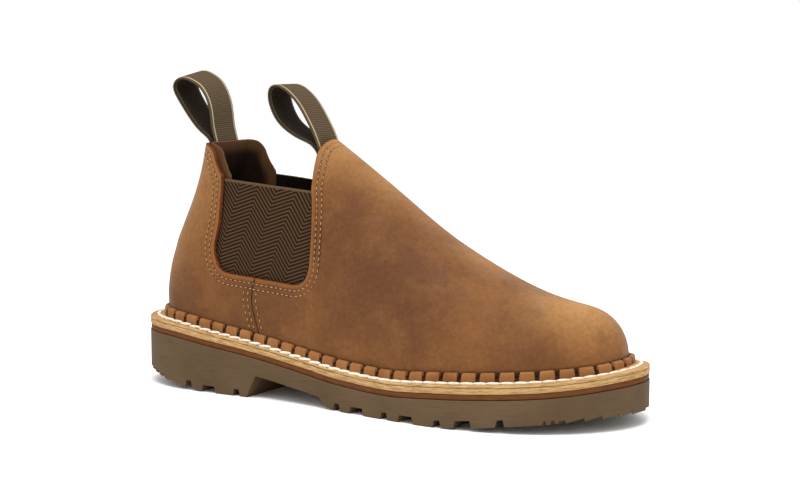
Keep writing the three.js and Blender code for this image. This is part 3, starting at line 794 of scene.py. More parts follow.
def clip_sheet(outer, inner, field, extras, edge_rows, bulge, closed=False):
    """Keeps the part of a two-sided sheet where field is positive, with a rounded rim on the cut.

    A closed sheet runs round, and its two sides share the points of the crest. Returns points, faces,
    the kind of each face (0 outer, 1 rim, 2 inner) and the extras per point.
    """
    count, rows = field.shape
    index = np.arange(count * rows).reshape(count, rows)
    if closed:
        later = np.arange(count) > count // 2
        index[later, -1] = index[(count - np.arange(count)[later]) % count, -1]
    flat = field.ravel()
    front = outer.reshape(-1, 3)
    back = inner.reshape(-1, 3)
    values = {key: data.ravel() for key, data in extras.items()}
    numbers = {}
    points_out, points_in = [], []
    kept_values = {key: [] for key in values}
    rim_out = {}

    def corner(a):
        if a not in numbers:
            numbers[a] = len(points_out)
            points_out.append(front[a])
            points_in.append(back[a])
            for key in values:
                kept_values[key].append(values[key][a])
        return numbers[a]

    def crossing(a, b):
        key = (a, b) if a < b else (b, a)
        if key not in numbers:
            a, b = key
            t = flat[a] / (flat[a] - flat[b])
            numbers[key] = len(points_out)
            points_out.append(front[a] + (front[b] - front[a]) * t)
            points_in.append(back[a] + (back[b] - back[a]) * t)
            for name in values:
                kept_values[name].append(values[name][a] + (values[name][b] - values[name][a]) * t)
            away = front[b] - front[a]
            rim_out[numbers[key]] = away if flat[b] < flat[a] else -away
        return numbers[key]

    faces, rims = [], []
    for i in range(count if closed else count - 1):
        k = (i + 1) % count
        for j in range(rows - 1):
            cell = [index[i, j], index[k, j], index[k, j + 1], index[i, j + 1]]
            marks = [flat[c] > 0 for c in cell]
            if not any(marks):
                continue
            if all(marks):
                face = [corner(c) for c in cell]
            else:
                face, cuts = [], []
                for n in range(4):
                    a, b = cell[n], cell[(n + 1) % 4]
                    if marks[n]:
                        face.append(corner(a))
                    if marks[n] != marks[(n + 1) % 4] and a != b:
                        cut = crossing(a, b)
                        face.append(cut)
                        cuts.append((len(face) - 1, marks[n]))
                if len(cuts) == 2:
                    leave = next(face[at] for at, going in cuts if going)
                    enter = next(face[at] for at, going in cuts if not going)
                    rims.append((leave, enter))
            face = [p for n, p in enumerate(face) if p not in face[:n]]
            if len(face) > 2:
                faces.append(face)
    total = len(points_out)
    points_out = np.array(points_out)
    points_in = np.array(points_in)
    kinds = [0] * len(faces) + [2] * len(faces)
    all_faces = faces + [[total + p for p in reversed(face)] for face in faces]
    points = [points_out, points_in]
    extra_rows = {key: [np.array(data), np.array(data)] for key, data in kept_values.items()}
    rim_ids = sorted({p for pair in rims for p in pair})
    place = {p: n for n, p in enumerate(rim_ids)}
    top, low = points_out[rim_ids], points_in[rim_ids]
    push = np.array([rim_out[p] for p in rim_ids])
    through = (top - low) / np.maximum(np.linalg.norm(top - low, axis=1)[:, None], 1e-9)
    neighbours = np.zeros_like(top)
    for a, b in rims:
        way = top[place[b]] - top[place[a]]
        neighbours[place[a]] += way
        neighbours[place[b]] += way
    outward = np.cross(through, neighbours)
    outward /= np.maximum(np.linalg.norm(outward, axis=1)[:, None], 1e-9)
    outward *= np.sign(np.sum(outward * push, axis=1))[:, None]
    base = 2 * total
    for row in range(1, edge_rows):
        angle = math.pi * row / edge_rows
        depth = (1 - math.cos(angle)) / 2
        points.append(top + (low - top) * depth + outward * bulge * math.sin(angle) ** 0.7)
        for key, data in kept_values.items():
            extra_rows[key].append(np.array(data)[rim_ids])

    def rim_point(p, row):
        if row == 0:
            return p
        if row == edge_rows:
            return total + p
        return base + (row - 1) * len(rim_ids) + place[p]

    for a, b in rims:
        for row in range(edge_rows):
            quad = [rim_point(b, row), rim_point(a, row), rim_point(a, row + 1), rim_point(b, row + 1)]
            all_faces.append(quad)
            kinds.append(1)
    extras = {key: np.concatenate(parts) for key, parts in extra_rows.items()}
    return np.vstack(points), all_faces, kinds, extras


# Materials

class Shader:
    """A material on Blender's principled surface, and the nodes that feed it."""

    def __init__(self, name, **settings):
        self.material = bpy.data.materials.new(name)
        self.material.use_nodes = True
        self.tree = self.material.node_tree
        self.surface = self.tree.nodes["Principled BSDF"]
        for key, value in settings.items():
            self.surface.inputs[key.replace("_", " ")].default_value = value
        self.height = None

    def link(self, value, socket):
        if isinstance(value, bpy.types.NodeSocket):
            self.tree.links.new(value, socket)
        else:
            socket.default_value = value

    def add(self, kind, output=0, options=None, **inputs):
        node = self.tree.nodes.new("ShaderNode" + kind)
        for key, value in (options or {}).items():
            setattr(node, key, value)
        for key, value in inputs.items():
            self.link(value, node.inputs[key.replace("_", " ")])
        return node.outputs[output]

    def math(self, operation, *values):
        node = self.tree.nodes.new("ShaderNodeMath")
        node.operation = operation
        for socket, value in zip(node.inputs, values):
            self.link(value, socket)
        return node.outputs[0]

    def place(self):
        return self.add("TexCoord", "Object")

    def band(self):
        return self.add("UVMap", options={"uv_map": "band"})

    def value(self, name):
        return self.add("Attribute", "Fac", {"attribute_name": name})

    def scaled(self, vector, scale, turn=(0, 0, 0)):
        return self.add("Mapping", Vector=vector, Scale=scale, Rotation=turn)

    def noise(self, vector, scale, detail=4, roughness=0.55, distortion=0):
        return self.add("TexNoise", Vector=vector, Scale=scale, Detail=detail, Roughness=roughness,
                        Distortion=distortion)

    def cells(self, vector, scale):
        return self.add("TexVoronoi", "Distance", Vector=vector, Scale=scale)

    def along_axis(self, vector, axis):
        """One axis of a vector, in millimetres."""
        return self.math("DIVIDE", self.add("SeparateXYZ", axis, Vector=vector), MM)

    def away(self, value, middle):
        return self.math("ABSOLUTE", self.math("SUBTRACT", value, middle))

    def ridges(self, value, pitch):
        """0.5 at each whole pitch, falling to 0 halfway to the next."""
        return self.away(self.math("FRACT", self.math("DIVIDE", value, pitch)), 0.5)

    def between(self, value, low, high, to_low=0.0, to_high=1.0):
        node = self.tree.nodes.new("ShaderNodeMapRange")
        node.interpolation_type = "SMOOTHSTEP"
        for key, item in zip(("Value", "From Min", "From Max", "To Min", "To Max"),
                             (value, low, high, to_low, to_high)):
            self.link(item, node.inputs[key])
        return node.outputs[0]

    def spot(self, centre, radius):
        """1 at a place on the boot, falling to 0 at the radius. Millimetres."""
        gap = self.add("VectorMath", "Value", {"operation": "DISTANCE"})
        self.link(self.place(), gap.node.inputs[0])
        gap.node.inputs[1].default_value = tuple(place_in_row([centre])[0])
        return self.between(gap, 0.0, radius * MM, 1.0, 0.0)

    def mix(self, factor, first, second, blend="MIX"):
        node = self.tree.nodes.new("ShaderNodeMix")
        node.data_type = "RGBA"
        node.blend_type = blend
        for socket, value in zip((0, 6, 7), (factor, first, second)):
            self.link(value, node.inputs[socket])
        return node.outputs[2]

    def ramp(self, value, *stops):
        """A run of colours. Each stop is a place from 0 to 1, and a colour from 0 to 255."""
        node = self.tree.nodes.new("ShaderNodeValToRGB")
        elements = node.color_ramp.elements
        while len(elements) < len(stops):
            elements.new(0.5)
        for element, (position, *colour) in zip(elements, stops):
            element.position = position
            element.color = tone(*colour)
        self.link(value, node.inputs[0])
        return node.outputs[0]

    def tint(self, colour, value, limits, amounts, shade):
        """Lays a shade over the colour, by one amount at the value's lower limit and another at its upper."""
        return self.mix(self.between(value, *limits, *amounts), colour, tone(*shade))

    def bump(self, height, strength, distance):
        """Adds a layer of relief over what is there. distance is in millimetres."""
        node = self.tree.nodes.new("ShaderNodeBump")
        node.inputs["Strength"].default_value = strength
        node.inputs["Distance"].default_value = distance * MM
        self.link(height, node.inputs["Height"])
        if self.height is not None:
            self.tree.links.new(self.height, node.inputs["Normal"])
        self.height = node.outputs[0]

    def finish(self, colour, roughness):
        self.link(colour, self.surface.inputs["Base Color"])
        self.link(roughness, self.surface.inputs["Roughness"])
        if self.height is not None:
            self.tree.links.new(self.height, self.surface.inputs["Normal"])
        return self.material


def tone(red, green, blue):
    """A colour given as the eye reads it, 0 to 255."""
    parts = [((c / 255 + 0.055) / 1.055) ** 2.4 for c in (red, green, blue)]
    return (*parts, 1)


def oiled_leather():
    s = Shader("oiled_leather", Specular_IOR_Level=0.12, Sheen_Weight=0.05, Sheen_Roughness=0.35)
    place = s.place()
    patches = s.noise(place, 11, 3, 0.5, 0.4)
    mottle = s.noise(place, 48, 5, 0.6, 0.2)
    streaks = s.noise(s.scaled(place, (40, 40, 150), (0, math.radians(-35), 0)), 1.0, 4, 0.6, 0.3)
    nap = s.noise(place, 420, 5, 0.7)
    colour = s.ramp(patches, (0.3, 99, 61, 31), (0.52, 110, 70, 35), (0.74, 123, 80, 42))
    # Soft patches, partly the leather's own uneven tone, partly painted shade on the lower sides and painted
    # highlights on the tops
    for group, shade in ((SHADE_AND_TONE_PATCHES, (87, 53, 31)), (HIGHLIGHT_AND_TONE_PATCHES, (163, 118, 69))):
        for centre, radius, amount in group:
            colour = s.mix(s.math("MULTIPLY", s.spot(centre, radius), amount), colour, tone(*shade))
    colour = s.tint(colour, mottle, (0.42, 0.72), (0, 0.34), (132, 89, 48))
    colour = s.tint(colour, mottle, (0.25, 0.48), (0.3, 0), (84, 51, 26))
    colour = s.tint(colour, streaks, (0.52, 0.75), (0, 0.28), (80, 47, 26))
    rim = s.value("rim")
    colour = s.tint(colour, rim, (0, 2.4), (0.45, 0), (144, 89, 41))
    rows = s.math("ADD", *(s.between(s.away(rim, distance), 0.0, 0.8, 1.0, 0.0) for distance in STITCH_ROWS))
    colour = s.mix(s.math("MULTIPLY", rows, 0.2), colour, tone(76, 44, 22))
    # Near-black line along the lapped edge of the side seam: a painted shadow
    colour = s.tint(colour, s.away(s.value("seam"), -0.2), (0.35, 1.05), (1, 0), (27, 14, 7))
    # Painted shade on the upper's foot just above the welt's lip
    colour = s.tint(colour, s.value("foot"), FOOT_SHADE, (0.85, 0), (45, 24, 11))
    fine = s.between(nap, 0.3, 0.7, 0.86, 1.1)
    colour = s.mix(1.0, colour, s.add("CombineColor", Red=fine, Green=fine, Blue=fine), "MULTIPLY")
    s.bump(nap, 0.28, 0.25)
    s.bump(s.cells(place, 900), 0.16, 0.2)
    s.bump(mottle, 0.25, 0.5)
    s.bump(streaks, 0.2, 0.4)
    s.bump(s.math("MULTIPLY", rows, -1.0), 0.7, 0.45)
    return s.finish(colour, s.between(s.noise(place, 90, 4), 0.3, 0.7, 0.56, 0.72))


# Distances of the two rows of stitches from the opening's edge
STITCH_ROWS = (3.0, 6.0)
# Places, radius and strength of the darker and lighter patches, partly the leather's own uneven tone
# The dark patches are partly painted shade on the lower sides
SHADE_AND_TONE_PATCHES = [
    ((262, -46, 44), 40, 0.85),
    ((284, -36, 40), 26, 0.6),
    ((196, -46, 72), 44, 0.5),
    ((176, -44, 78), 62, 0.9),
    ((150, -40, 100), 42, 0.5),
    ((205, -42, 55), 50, 0.5),
    ((30, -30, 45), 36, 0.45),
    ((100, -36, 48), 46, 0.4),
    ((176, 40, 78), 55, 0.7),
    ((60, 30, 50), 46, 0.5),
]
# The light patches are partly painted highlights on the toe, crest and heel tops
HIGHLIGHT_AND_TONE_PATCHES = [
    ((276, 0, 68), 44, 0.95),
    ((222, 6, 94), 32, 0.8),
    ((190, 8, 108), 26, 0.5),
    ((128, 0, 146), 42, 0.7),
    ((30, -14, 124), 56, 0.55),
    ((160, 4, 126), 32, 0.6),
    ((24, 0, 80), 40, 0.6),
]
# Heights above the seat between which the upper's foot gets painted shade towards the welt's lip
FOOT_SHADE = (5.5, 8)


def cut_edge():
    s = Shader("cut_edge", Specular_IOR_Level=0.1)
    fibre = s.noise(s.place(), 700, 4, 0.7)
    s.bump(fibre, 0.5, 0.3)
    return s.finish(s.ramp(fibre, (0.3, 66, 32, 13), (0.6, 98, 52, 22), (0.8, 122, 72, 36)), 0.82)


def lining_leather():
    s = Shader("lining_leather", Specular_IOR_Level=0.15)
    place = s.place()
    broad = s.noise(s.scaled(place, (60, 60, 12)), 1.0, 4, 0.6, 0.4)
    nap = s.noise(place, 600, 5, 0.7)
    # Near-black away from the cut edge and lighter within several millimetres of it: painted shade inside the
    # shaft, over the lining's tone
    colour = s.ramp(broad, (0.3, 20, 10, 6), (0.55, 34, 18, 10), (0.75, 54, 28, 15))
    colour = s.tint(colour, s.value("rim"), (2, 9), (1, 0), (86, 58, 34))
    colour = s.tint(colour, nap, (0.55, 0.75), (0, 0.3), (84, 56, 34))
    s.bump(nap, 0.5, 0.3)
    return s.finish(colour, 0.95)


def dark_inside():
    """The unlit backs of the elastic."""
    s = Shader("dark_inside", Specular_IOR_Level=0.1)
    weave = s.noise(s.place(), 500, 4, 0.6)
    s.bump(weave, 0.3, 0.2)
    return s.finish(s.ramp(weave, (0.3, 14, 9, 6), (0.7, 28, 18, 11)), 0.95)


GORE_LEAN = math.radians(17)
GORE_ARM = 11.7
GORE_STRIPE = 2.35
GORE_SLOPE = 0.72
GORE_START = 4.0
GORE_TWIST = 0.9


def gore_elastic():
    s = Shader("gore_elastic", Specular_IOR_Level=0.05)
    x, z = s.along_axis(s.place(), 0), s.along_axis(s.place(), 2)
    cos, sin = math.cos(GORE_LEAN), math.sin(GORE_LEAN)
    across = s.math("SUBTRACT", s.math("MULTIPLY", x, cos), s.math("MULTIPLY", z, sin))
    along = s.math("ADD", s.math("MULTIPLY", x, sin), s.math("MULTIPLY", z, cos))
    turn = s.math("PINGPONG", s.math("ADD", across, GORE_START), GORE_ARM)
    turn = s.math("MULTIPLY", turn, GORE_SLOPE)
    rows = s.ridges(s.math("ADD", along, turn), GORE_STRIPE)
    wobble = s.noise(s.place(), 500, 3)
    stripe = s.between(s.math("ADD", rows, s.math("MULTIPLY", wobble, 0.08)), 0.2, 0.37)
    twist = s.between(s.ridges(s.math("SUBTRACT", along, turn), GORE_TWIST), 0.1, 0.4)
    light = s.mix(twist, tone(64, 47, 31), tone(82, 62, 43))
    dark = s.mix(twist, tone(27, 16, 9), tone(38, 24, 15))
    colour = s.tint(s.mix(stripe, dark, light), s.value("rim"), (0.8, 1.3), (1, 0), (88, 68, 46))
    s.bump(stripe, 0.7, 0.5)
    s.bump(twist, 0.35, 0.2)
    return s.finish(colour, 0.88)


def welt_leather():
    s = Shader("welt_leather", Specular_IOR_Level=0.12)
    broad = s.noise(s.place(), 60, 4, 0.6)
    fine = s.noise(s.place(), 650, 4, 0.7)
    colour = s.ramp(broad, (0.3, 122, 78, 42), (0.55, 138, 92, 52), (0.75, 152, 106, 64))
    colour = s.tint(colour, fine, (0.55, 0.75), (0, 0.35), (98, 58, 28))
    # Darkened in the lip's notches: painted shade there, over the raw cut's darker brown
    colour = s.tint(colour, s.value("notch"), (0.4, 0.95), (0, 0.95), (40, 18, 7))
    s.bump(fine, 0.35, 0.25)
    s.bump(broad, 0.2, 0.4)
    return s.finish(colour, 0.66)


def welt_top_leather():
    s = Shader("welt_top_leather", Specular_IOR_Level=0.12)
    broad = s.noise(s.place(), 45, 4, 0.6)
    fine = s.noise(s.place(), 520, 4, 0.7)
    colour = s.ramp(broad, (0.3, 150, 112, 70), (0.6, 172, 134, 90), (0.8, 186, 150, 106))
    colour = s.tint(colour, fine, (0.58, 0.78), (0, 0.4), (126, 86, 50))
    s.bump(fine, 0.35, 0.25)
    return s.finish(colour, 0.64)


def layered_edge(name, stops, streak, tilt, strength):
    """The cut side of a sole layer, with fibre streaks along it."""
    s = Shader(name, Specular_IOR_Level=0.1)
    band = s.band()
    streaks = s.noise(s.scaled(band, (130, 1900, 1), (0, 0, tilt)), 1.0, 5, 0.66, 0.6)
    broad = s.noise(s.scaled(band, (22, 160, 1)), 1.0, 3, 0.5)
    colour = s.tint(s.ramp(streaks, *stops), broad, (0.5, 0.72), (0, 0.25), streak)
    s.bump(streaks, strength, 0.35)
    return s.finish(colour, 0.72)


def rubber_tread():
    s = Shader("rubber_tread", Specular_IOR_Level=0.12)
    place = s.place()
    lines = s.noise(s.scaled(place, (60, 60, 1500)), 1.0, 5, 0.65, 0.3)
    colour = s.ramp(s.noise(place, 28, 4, 0.6), (0.3, 81, 64, 44), (0.7, 95, 76, 55))
    colour = s.tint(colour, lines, (0.45, 0.7), (0, 0.32), (66, 49, 33))
    s.bump(lines, 0.35, 0.25)
    s.bump(s.noise(place, 900, 3, 0.6), 0.2, 0.15)
    return s.finish(colour, 0.74)


def webbing():
    s = Shader("webbing", Specular_IOR_Level=0.05)
    band = s.band()
    across = s.math("ABSOLUTE", s.along_axis(band, 1))
    rib = s.ridges(s.along_axis(band, 0), RIB_PITCH)
    cord = s.ridges(across, CORD_PITCH)
    weave = s.math("MULTIPLY", s.between(rib, 0.05, 0.4), s.between(cord, 0.05, 0.45, 0.5, 1.0))
    fuzz = s.noise(s.place(), 800, 4, 0.7)
    colour = s.mix(weave, tone(64, 52, 37), tone(98, 83, 62))
    selvedge = s.away(across, TAPE_WIDTH / 2 - SELVEDGE_INSET)
    colour = s.tint(colour, selvedge, (0.35, 0.6), (1, 0), (168, 154, 128))
    colour = s.tint(colour, fuzz, (0.5, 0.8), (0, 0.3), (58, 46, 34))
    # Painted shade on the tape's face that looks into the loop
    colour = s.mix(s.math("MULTIPLY", s.value("inner"), 0.8), colour, tone(24, 17, 11))
    s.bump(weave, 0.6, 0.35)
    s.bump(fuzz, 0.25, 0.15)
    return s.finish(colour, 0.86)


def thread(name, light, dark):
    s = Shader(name, Specular_IOR_Level=0.3)
    fibre = s.noise(s.place(), 1400, 4, 0.6)
    s.bump(fibre, 0.5, 0.15)
    return s.finish(s.mix(s.between(fibre, 0.35, 0.7), tone(*dark), tone(*light)), 0.6)


# Dark beads round each seam stitch: painted shade in the stitch holes
def pinhole_shade():
    s = Shader("pinhole_shade", Specular_IOR_Level=0.1)
    return s.finish(s.ramp(s.noise(s.place(), 900), (0.3, 32, 17, 9), (0.7, 54, 31, 17)), 0.9)


def insole_cloth():
    s = Shader("insole_cloth", Specular_IOR_Level=0.2)
    place = s.place()
    warp, weft = (s.noise(s.scaled(place, scale), 1.0) for scale in ((1600, 90, 90), (90, 1600, 90)))
    s.bump(s.math("MULTIPLY", warp, weft), 0.6, 0.4)
    return s.finish(s.ramp(s.noise(place, 35, 4), (0.3, 58, 42, 30), (0.7, 86, 64, 46)), 0.9)


LEATHER = oiled_leather()
CUT_EDGE = cut_edge()
LINING = lining_leather()
INSIDE = dark_inside()
ELASTIC = gore_elastic()
WELT = welt_leather()
WELT_TOP = welt_top_leather()
MIDSOLE = layered_edge(
    "midsole_fibre",
    [(0.34, 122, 88, 52), (0.45, 156, 120, 76), (0.58, 190, 156, 108), (0.75, 168, 131, 86)],
    (146, 108, 66), math.radians(9), 0.35,
)
RAND = layered_edge(
    "rand_fibre", [(0.3, 78, 44, 20), (0.6, 102, 60, 29), (0.85, 124, 78, 40)], (84, 48, 24), 0.0, 0.3,
)
RUBBER = rubber_tread()
WEBBING = webbing()
TAN_THREAD = thread("tan_thread", (184, 140, 92), (140, 98, 60))
CREAM_THREAD = thread("cream_thread", (238, 230, 214), (196, 182, 158))
PINHOLE_SHADE = pinhole_shade()
INSOLE = insole_cloth()


# Upper

# The seam's distance where there is no seam
NO_SEAM = 50
LINING_THICKNESS = 1.2
LINING_RISE = 0.8
LINING_LEAD = 3.2
LINING_CLEARANCE = 0.25
LINING_FOOT = 88
# The lining lies deeper from here forward, behind the gore's edge
LINING_TUCK = 2.0
LINING_TUCK_X = 52
# It is pushed forward of the heel loop's end from this height up, with a soft bend
LINING_PUSH_FOOT = 96
LINING_SOFTNESS = 0.8
# How much the heel loop's inner edge stands higher than its outer edge, as a share of the tape's width
HEEL_LOOP_LEAN = 0.17
HEEL_STEM_X = inner_back(TAB_TOP, TAPE_WIDTH / 2) + TAPE_THICKNESS + 2 * SEAM_GAP
STEM_LEVEL = SEAT_AT_ANKLE + TAB_TOP


def make_upper():
    x, z = GRID[..., 0], GRID[..., 2]
    inner = GRID - NORMALS * UPPER_WALL
    inner[:, 0, 2] = GRID[:, 0, 2]
    field = -inside_distance(opening_region(), x, z)
    seam = np.where(z < SEAM_TOP + 3, x - seam_x(z), NO_SEAM)
    extras = {"rim": field, "seam": seam, "foot": z - seat(x)}
    points, faces, kinds, extras = clip_sheet(dressed_grid(), inner, field, extras, 5, 0.45, closed=True)
    looks = [LEATHER, CUT_EDGE, LINING]
    made = make_piece("upper_leather_wall", points, faces, looks, kinds, extras, sharp=50)
    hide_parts("upper")


def lining_sheet(x, y, level, half, along, depth):
    """One face of the heel lining, pushed forward where the end of the heel loop stands behind it."""
    deep = UPPER_WALL + LINING_CLEARANCE + LINING_TUCK * smooth((x - LINING_TUCK_X) / 6) + depth
    inner_x = x + deep * along
    lean = back_line(np.minimum(level, STEM_LEVEL) - SEAT_AT_ANKLE)[0] - back_line(TAB_TOP)[0]
    front = HEEL_STEM_X + lean + TAPE_THICKNESS + 0.5 + depth
    folds = 0.35 * np.sin(y * 0.55 + level * 0.09) * smooth((STEM_LEVEL - 3 - level) / 14)
    push = np.log1p(np.exp((front - inner_x) / LINING_SOFTNESS)) * LINING_SOFTNESS + folds
    pushed = inner_x + push * smooth((level - LINING_PUSH_FOOT) / 24)
    return np.stack([pushed, y * (1 - deep / half), level], -1)


def make_heel_lining():
    """A padded panel inside the back tab, in front of the sewn end of the heel loop."""
    angle = np.linspace(-1, 1, 121) * math.pi / 2
    z = np.linspace(LINING_FOOT, SEAT_AT_ANKLE + TAB_TOP + LINING_RISE + 6, 70)
    turn, level = np.meshgrid(angle, z, indexing="ij")
    across, along = heel_shares(np.abs(turn))
    line_x, lateral, medial = back_line(level - SEAT_AT_ANKLE)
    half = np.where(turn < 0, lateral, medial)
    x = ANKLE_X - (ANKLE_X - line_x) * along
    y = np.sign(turn) * half * across
    ahead, ahead_level = np.meshgrid(ANKLE_X + 1.4 * np.arange(1, 9), z, indexing="ij")
    left, right = (wall_y(ahead, ahead_level, side) for side in (-1, 1))
    x = np.vstack([ahead[::-1], x, ahead])
    y = np.vstack([left[::-1], y, right])
    level = np.vstack([ahead_level[::-1], level, ahead_level])
    half = np.vstack([-left[::-1], half, right])
    along = np.pad(along, ((len(ahead), len(ahead)), (0, 0)))
    outer, inner = (lining_sheet(x, y, level, half, along, depth) for depth in (0, LINING_THICKNESS))
    field = -inside_distance(opening_region(), inner[..., 0] - LINING_LEAD, level - LINING_RISE)[::-1]
    points, faces, _, extras = clip_sheet(inner[::-1], outer[::-1], field, {"rim": field}, 5, 0.4)
    made = make_piece("heel_lining", points, faces, [LINING], None, extras, sharp=60)


def make_gore(side, name):
    x, z = np.meshgrid(np.arange(36, 138, 1.3), np.arange(52, 126, 1.3), indexing="ij")
    points, out = wall_frame(x, z, side)
    depth = UPPER_WALL + SEAM_GAP
    outer = points - out * depth
    inner = points - out * (depth + GORE_THICKNESS)
    if side > 0:
        outer, inner, x, z = outer[::-1], inner[::-1], x[::-1], z[::-1]
    field = inside_distance(gore_region(GORE_OVERLAP), x, z)
    back = np.array(side_place(GORE_BACK - GORE_OVERLAP, GORE_BACK_HEIGHT))
    front = np.array(side_place(GORE_FRONT + GORE_OVERLAP, GORE_FRONT_HEIGHT))
    way = (front - back) / np.linalg.norm(front - back)
    under_top = (x - back[0]) * way[1] - (z - back[1]) * way[0]
    points, faces, kinds, extras = clip_sheet(outer, inner, field, {"rim": under_top}, 4, 0.3)
    made = make_piece(name + "_elastic", points, faces, [ELASTIC, ELASTIC, INSIDE], kinds, extras, sharp=60)
    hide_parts(name)


def make_insole():
    ring = foot_ring(-UPPER_WALL - SEAM_GAP)[::2]
    count = len(ring)
    middle = (ring + ring[(count - np.arange(count)) % count]) / 2
    x = ring[:, 0]
    rows = [ring_points(ring, seat(x) + 0.05), ring_points(ring, seat(x) + INSOLE_THICKNESS - 0.4)]
    for share in (0.03, 0.12, 0.25, 0.45, 0.7, 0.92):
        inset = ring + (middle - ring) * share
        cup = 1.6 * (1 - share) ** 3 * smooth((110 - inset[:, 0]) / 60)
        rows.append(ring_points(inset, seat(inset[:, 0]) + INSOLE_THICKNESS + cup))
    faces = lace(len(rows), count) + both_caps(len(rows), count)
    made = make_piece("insole_board", np.vstack(rows), faces, [INSOLE], sharp=50)
    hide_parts("insole")


# Layers round the sole

def strip_piece(name, node, rows, materials, picks=None, hollow=False):
    """A closed layer from rings along the sole's outline, each an inset and a height."""
    rings, ups = [], []
    for inset, height in rows:
        ring = OUTLINE + OUTLINE_INWARD * np.asarray(inset)[..., None]
        rings.append(ring_points(ring, height))
        ups.append(height - rubber_top(OUTLINE[:, 0]))
    count = len(OUTLINE)
    faces = lace(len(rings), count, hollow)
    if not hollow:
        faces += both_caps(len(rings), count)
    band = (np.tile(OUTLINE_ALONG, len(rings)), np.concatenate(ups), OUTLINE_LENGTH)
    made = make_piece(name, np.vstack(rings), faces, materials, picks, None, band, sharp=35)
    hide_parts(node)


def rounded_side(low, high, inset, belly):
    """Insets and heights up the side of a layer, with soft corners."""
    steps = ((0, 0.55), (0.06, 0.18), (0.16, 0), (0.5, -belly), (0.84, 0), (0.94, 0.18), (1, 0.55))
    return [(inset + back, low + (high - low) * share) for share, back in steps]


def make_midsole():
    x = OUTLINE[:, 0]
    rows = rounded_side(rand_top(x) + 0.05, midsole_top(x) + 0.1, 0.1, 0.1)
    strip_piece("midsole_layer", "midsole", rows, [MIDSOLE])


def make_rand():
    x = OUTLINE[:, 0]
    rows = rounded_side(rubber_top(x) + 0.25, rand_top(x) + 0.1, RAND_INSET, 0)
    strip_piece("rand_layer", "rand", rows, [RAND])


def lip_margin():
    """How far the sole's edge stands out from the welt's lip, round the outline."""
    lip = foot_ring(SEAM_GAP + LIP_THICKNESS)
    gaps = np.linalg.norm(OUTLINE[:, None, :] - lip[None, :, :], axis=2)
    return soften_ring(gaps.min(axis=1)[:, None], 4)[:, 0]


MARGIN = lip_margin()
STITCH_SHARE = 0.6
STITCH_GROOVE = 0.45


def make_flange():
    x = OUTLINE[:, 0]
    low, high = seat(x) - 0.1, flange_top(x)
    groove = MARGIN * STITCH_SHARE
    under_lip = MARGIN + 1.6
    rows = [
        (under_lip, low), (0.5, low), (0.12, low + 0.25), (0.05, (low + high) / 2), (0.12, high - 0.45),
        (0.45, high - 0.1), (0.9, high), (groove - 1.0, high), (groove - 0.6, high - STITCH_GROOVE),
        (groove + 0.6, high - STITCH_GROOVE), (groove + 1.0, high), (under_lip, high),
    ]
    picks = np.repeat([0, 0, 0, 0, 0, 1, 1, 1, 1, 1, 1, 0], len(OUTLINE))
    strip_piece("welt_flange", "welt", rows, [MIDSOLE, WELT_TOP], picks, hollow=True)


# Along one notch and block of the lip: place from the notch's middle, and how far the top is cut down
NOTCH_STATIONS = [
    (-1.0, 0.94), (-0.4, 1), (0.4, 1), (1.0, 0.94), (1.25, 0.5), (1.45, 0.1), (1.8, 0), (3.4, -0.03),
    (5.0, -0.05), (6.6, -0.03), (8.2, 0), (8.55, 0.1), (8.75, 0.5),
]
LIP_PROFILE = [
    # out from the upper, share of the lip's height
    (0.25, -0.2), (0.3, 0.85), (0.6, 0.97), (1.3, 1.0), (2.2, 0.99), (2.8, 0.94), (3.12, 0.84), (3.25, 0.6),
    (3.3, 0.25), (3.5, 0.06), (3.9, -0.04), (3.9, -0.2),
]


def round_foot(goals, ring):
    """Points of a ring round the upper's foot at places along it."""
    run = np.r_[FOOT_RUN, FOOT_LENGTH]
    return np.stack([np.interp(goals, run, np.r_[ring[:, k], ring[0, k]]) for k in range(2)], 1)


def make_lip():
    rng = np.random.default_rng(4)
    blocks = round(FOOT_LENGTH / NOTCH_PITCH)
    pitch = FOOT_LENGTH / blocks
    stretch = pitch / 10
    stations = []
    for k in range(blocks):
        lean = rng.uniform(-0.12, 0.12)
        for offset, cut_share in NOTCH_STATIONS:
            stations.append((((k + 0.5) * pitch + offset * stretch) % FOOT_LENGTH, cut_share, lean))
    stations = np.array(stations)
    goals, cuts, leans = stations[np.argsort(stations[:, 0])].T
    ring, out = round_foot(goals, FOOT_RING), round_foot(goals, FOOT_OUT)
    floor = LIP_HEIGHT - NOTCH_DEPTH
    rows = []
    for reach, share in LIP_PROFILE:
        foot = ring + out * (reach + leans * (share > 0.5) * 0.6)[:, None]
        height = LIP_HEIGHT * share
        level = height + leans * share
        if share > 0.1:
            level = np.minimum(level, height - (height - floor) * cuts)
        rows.append(ring_points(foot, flange_top(ring[:, 0]) + level))
    faces = lace(len(rows), len(goals), closed_rows=True)
    # How deep each place of the lip is notched, which drives the painted shade in the notches
    notch = {"notch": np.tile(cuts, len(rows))}
    made = make_piece("welt_lip", np.vstack(rows), faces, [WELT], None, notch, sharp=38)


# Stitches

def bead(rows, sides, fullness):
    """A round-ended grain, one unit to each side of its middle."""
    points, faces = [(-1, 0, 0)], []
    for r in range(1, rows):
        t = -math.cos(math.pi * r / rows)
        size = (1 - abs(t) ** fullness) ** 0.5
        for k in range(sides):
            angle = 2 * math.pi * k / sides
            points.append((t, size * math.cos(angle), size * math.sin(angle)))
    points.append((1, 0, 0))
    last = len(points) - 1
    for k in range(sides):
        n = (k + 1) % sides
        faces.append([0, 1 + n, 1 + k])
        for r in range(rows - 2):
            a, b = 1 + r * sides, 1 + (r + 1) * sides
            faces.append([a + k, a + n, b + n, b + k])
        low = 1 + (rows - 2) * sides
        faces.append([low + k, low + n, last])
    return np.array(points), faces


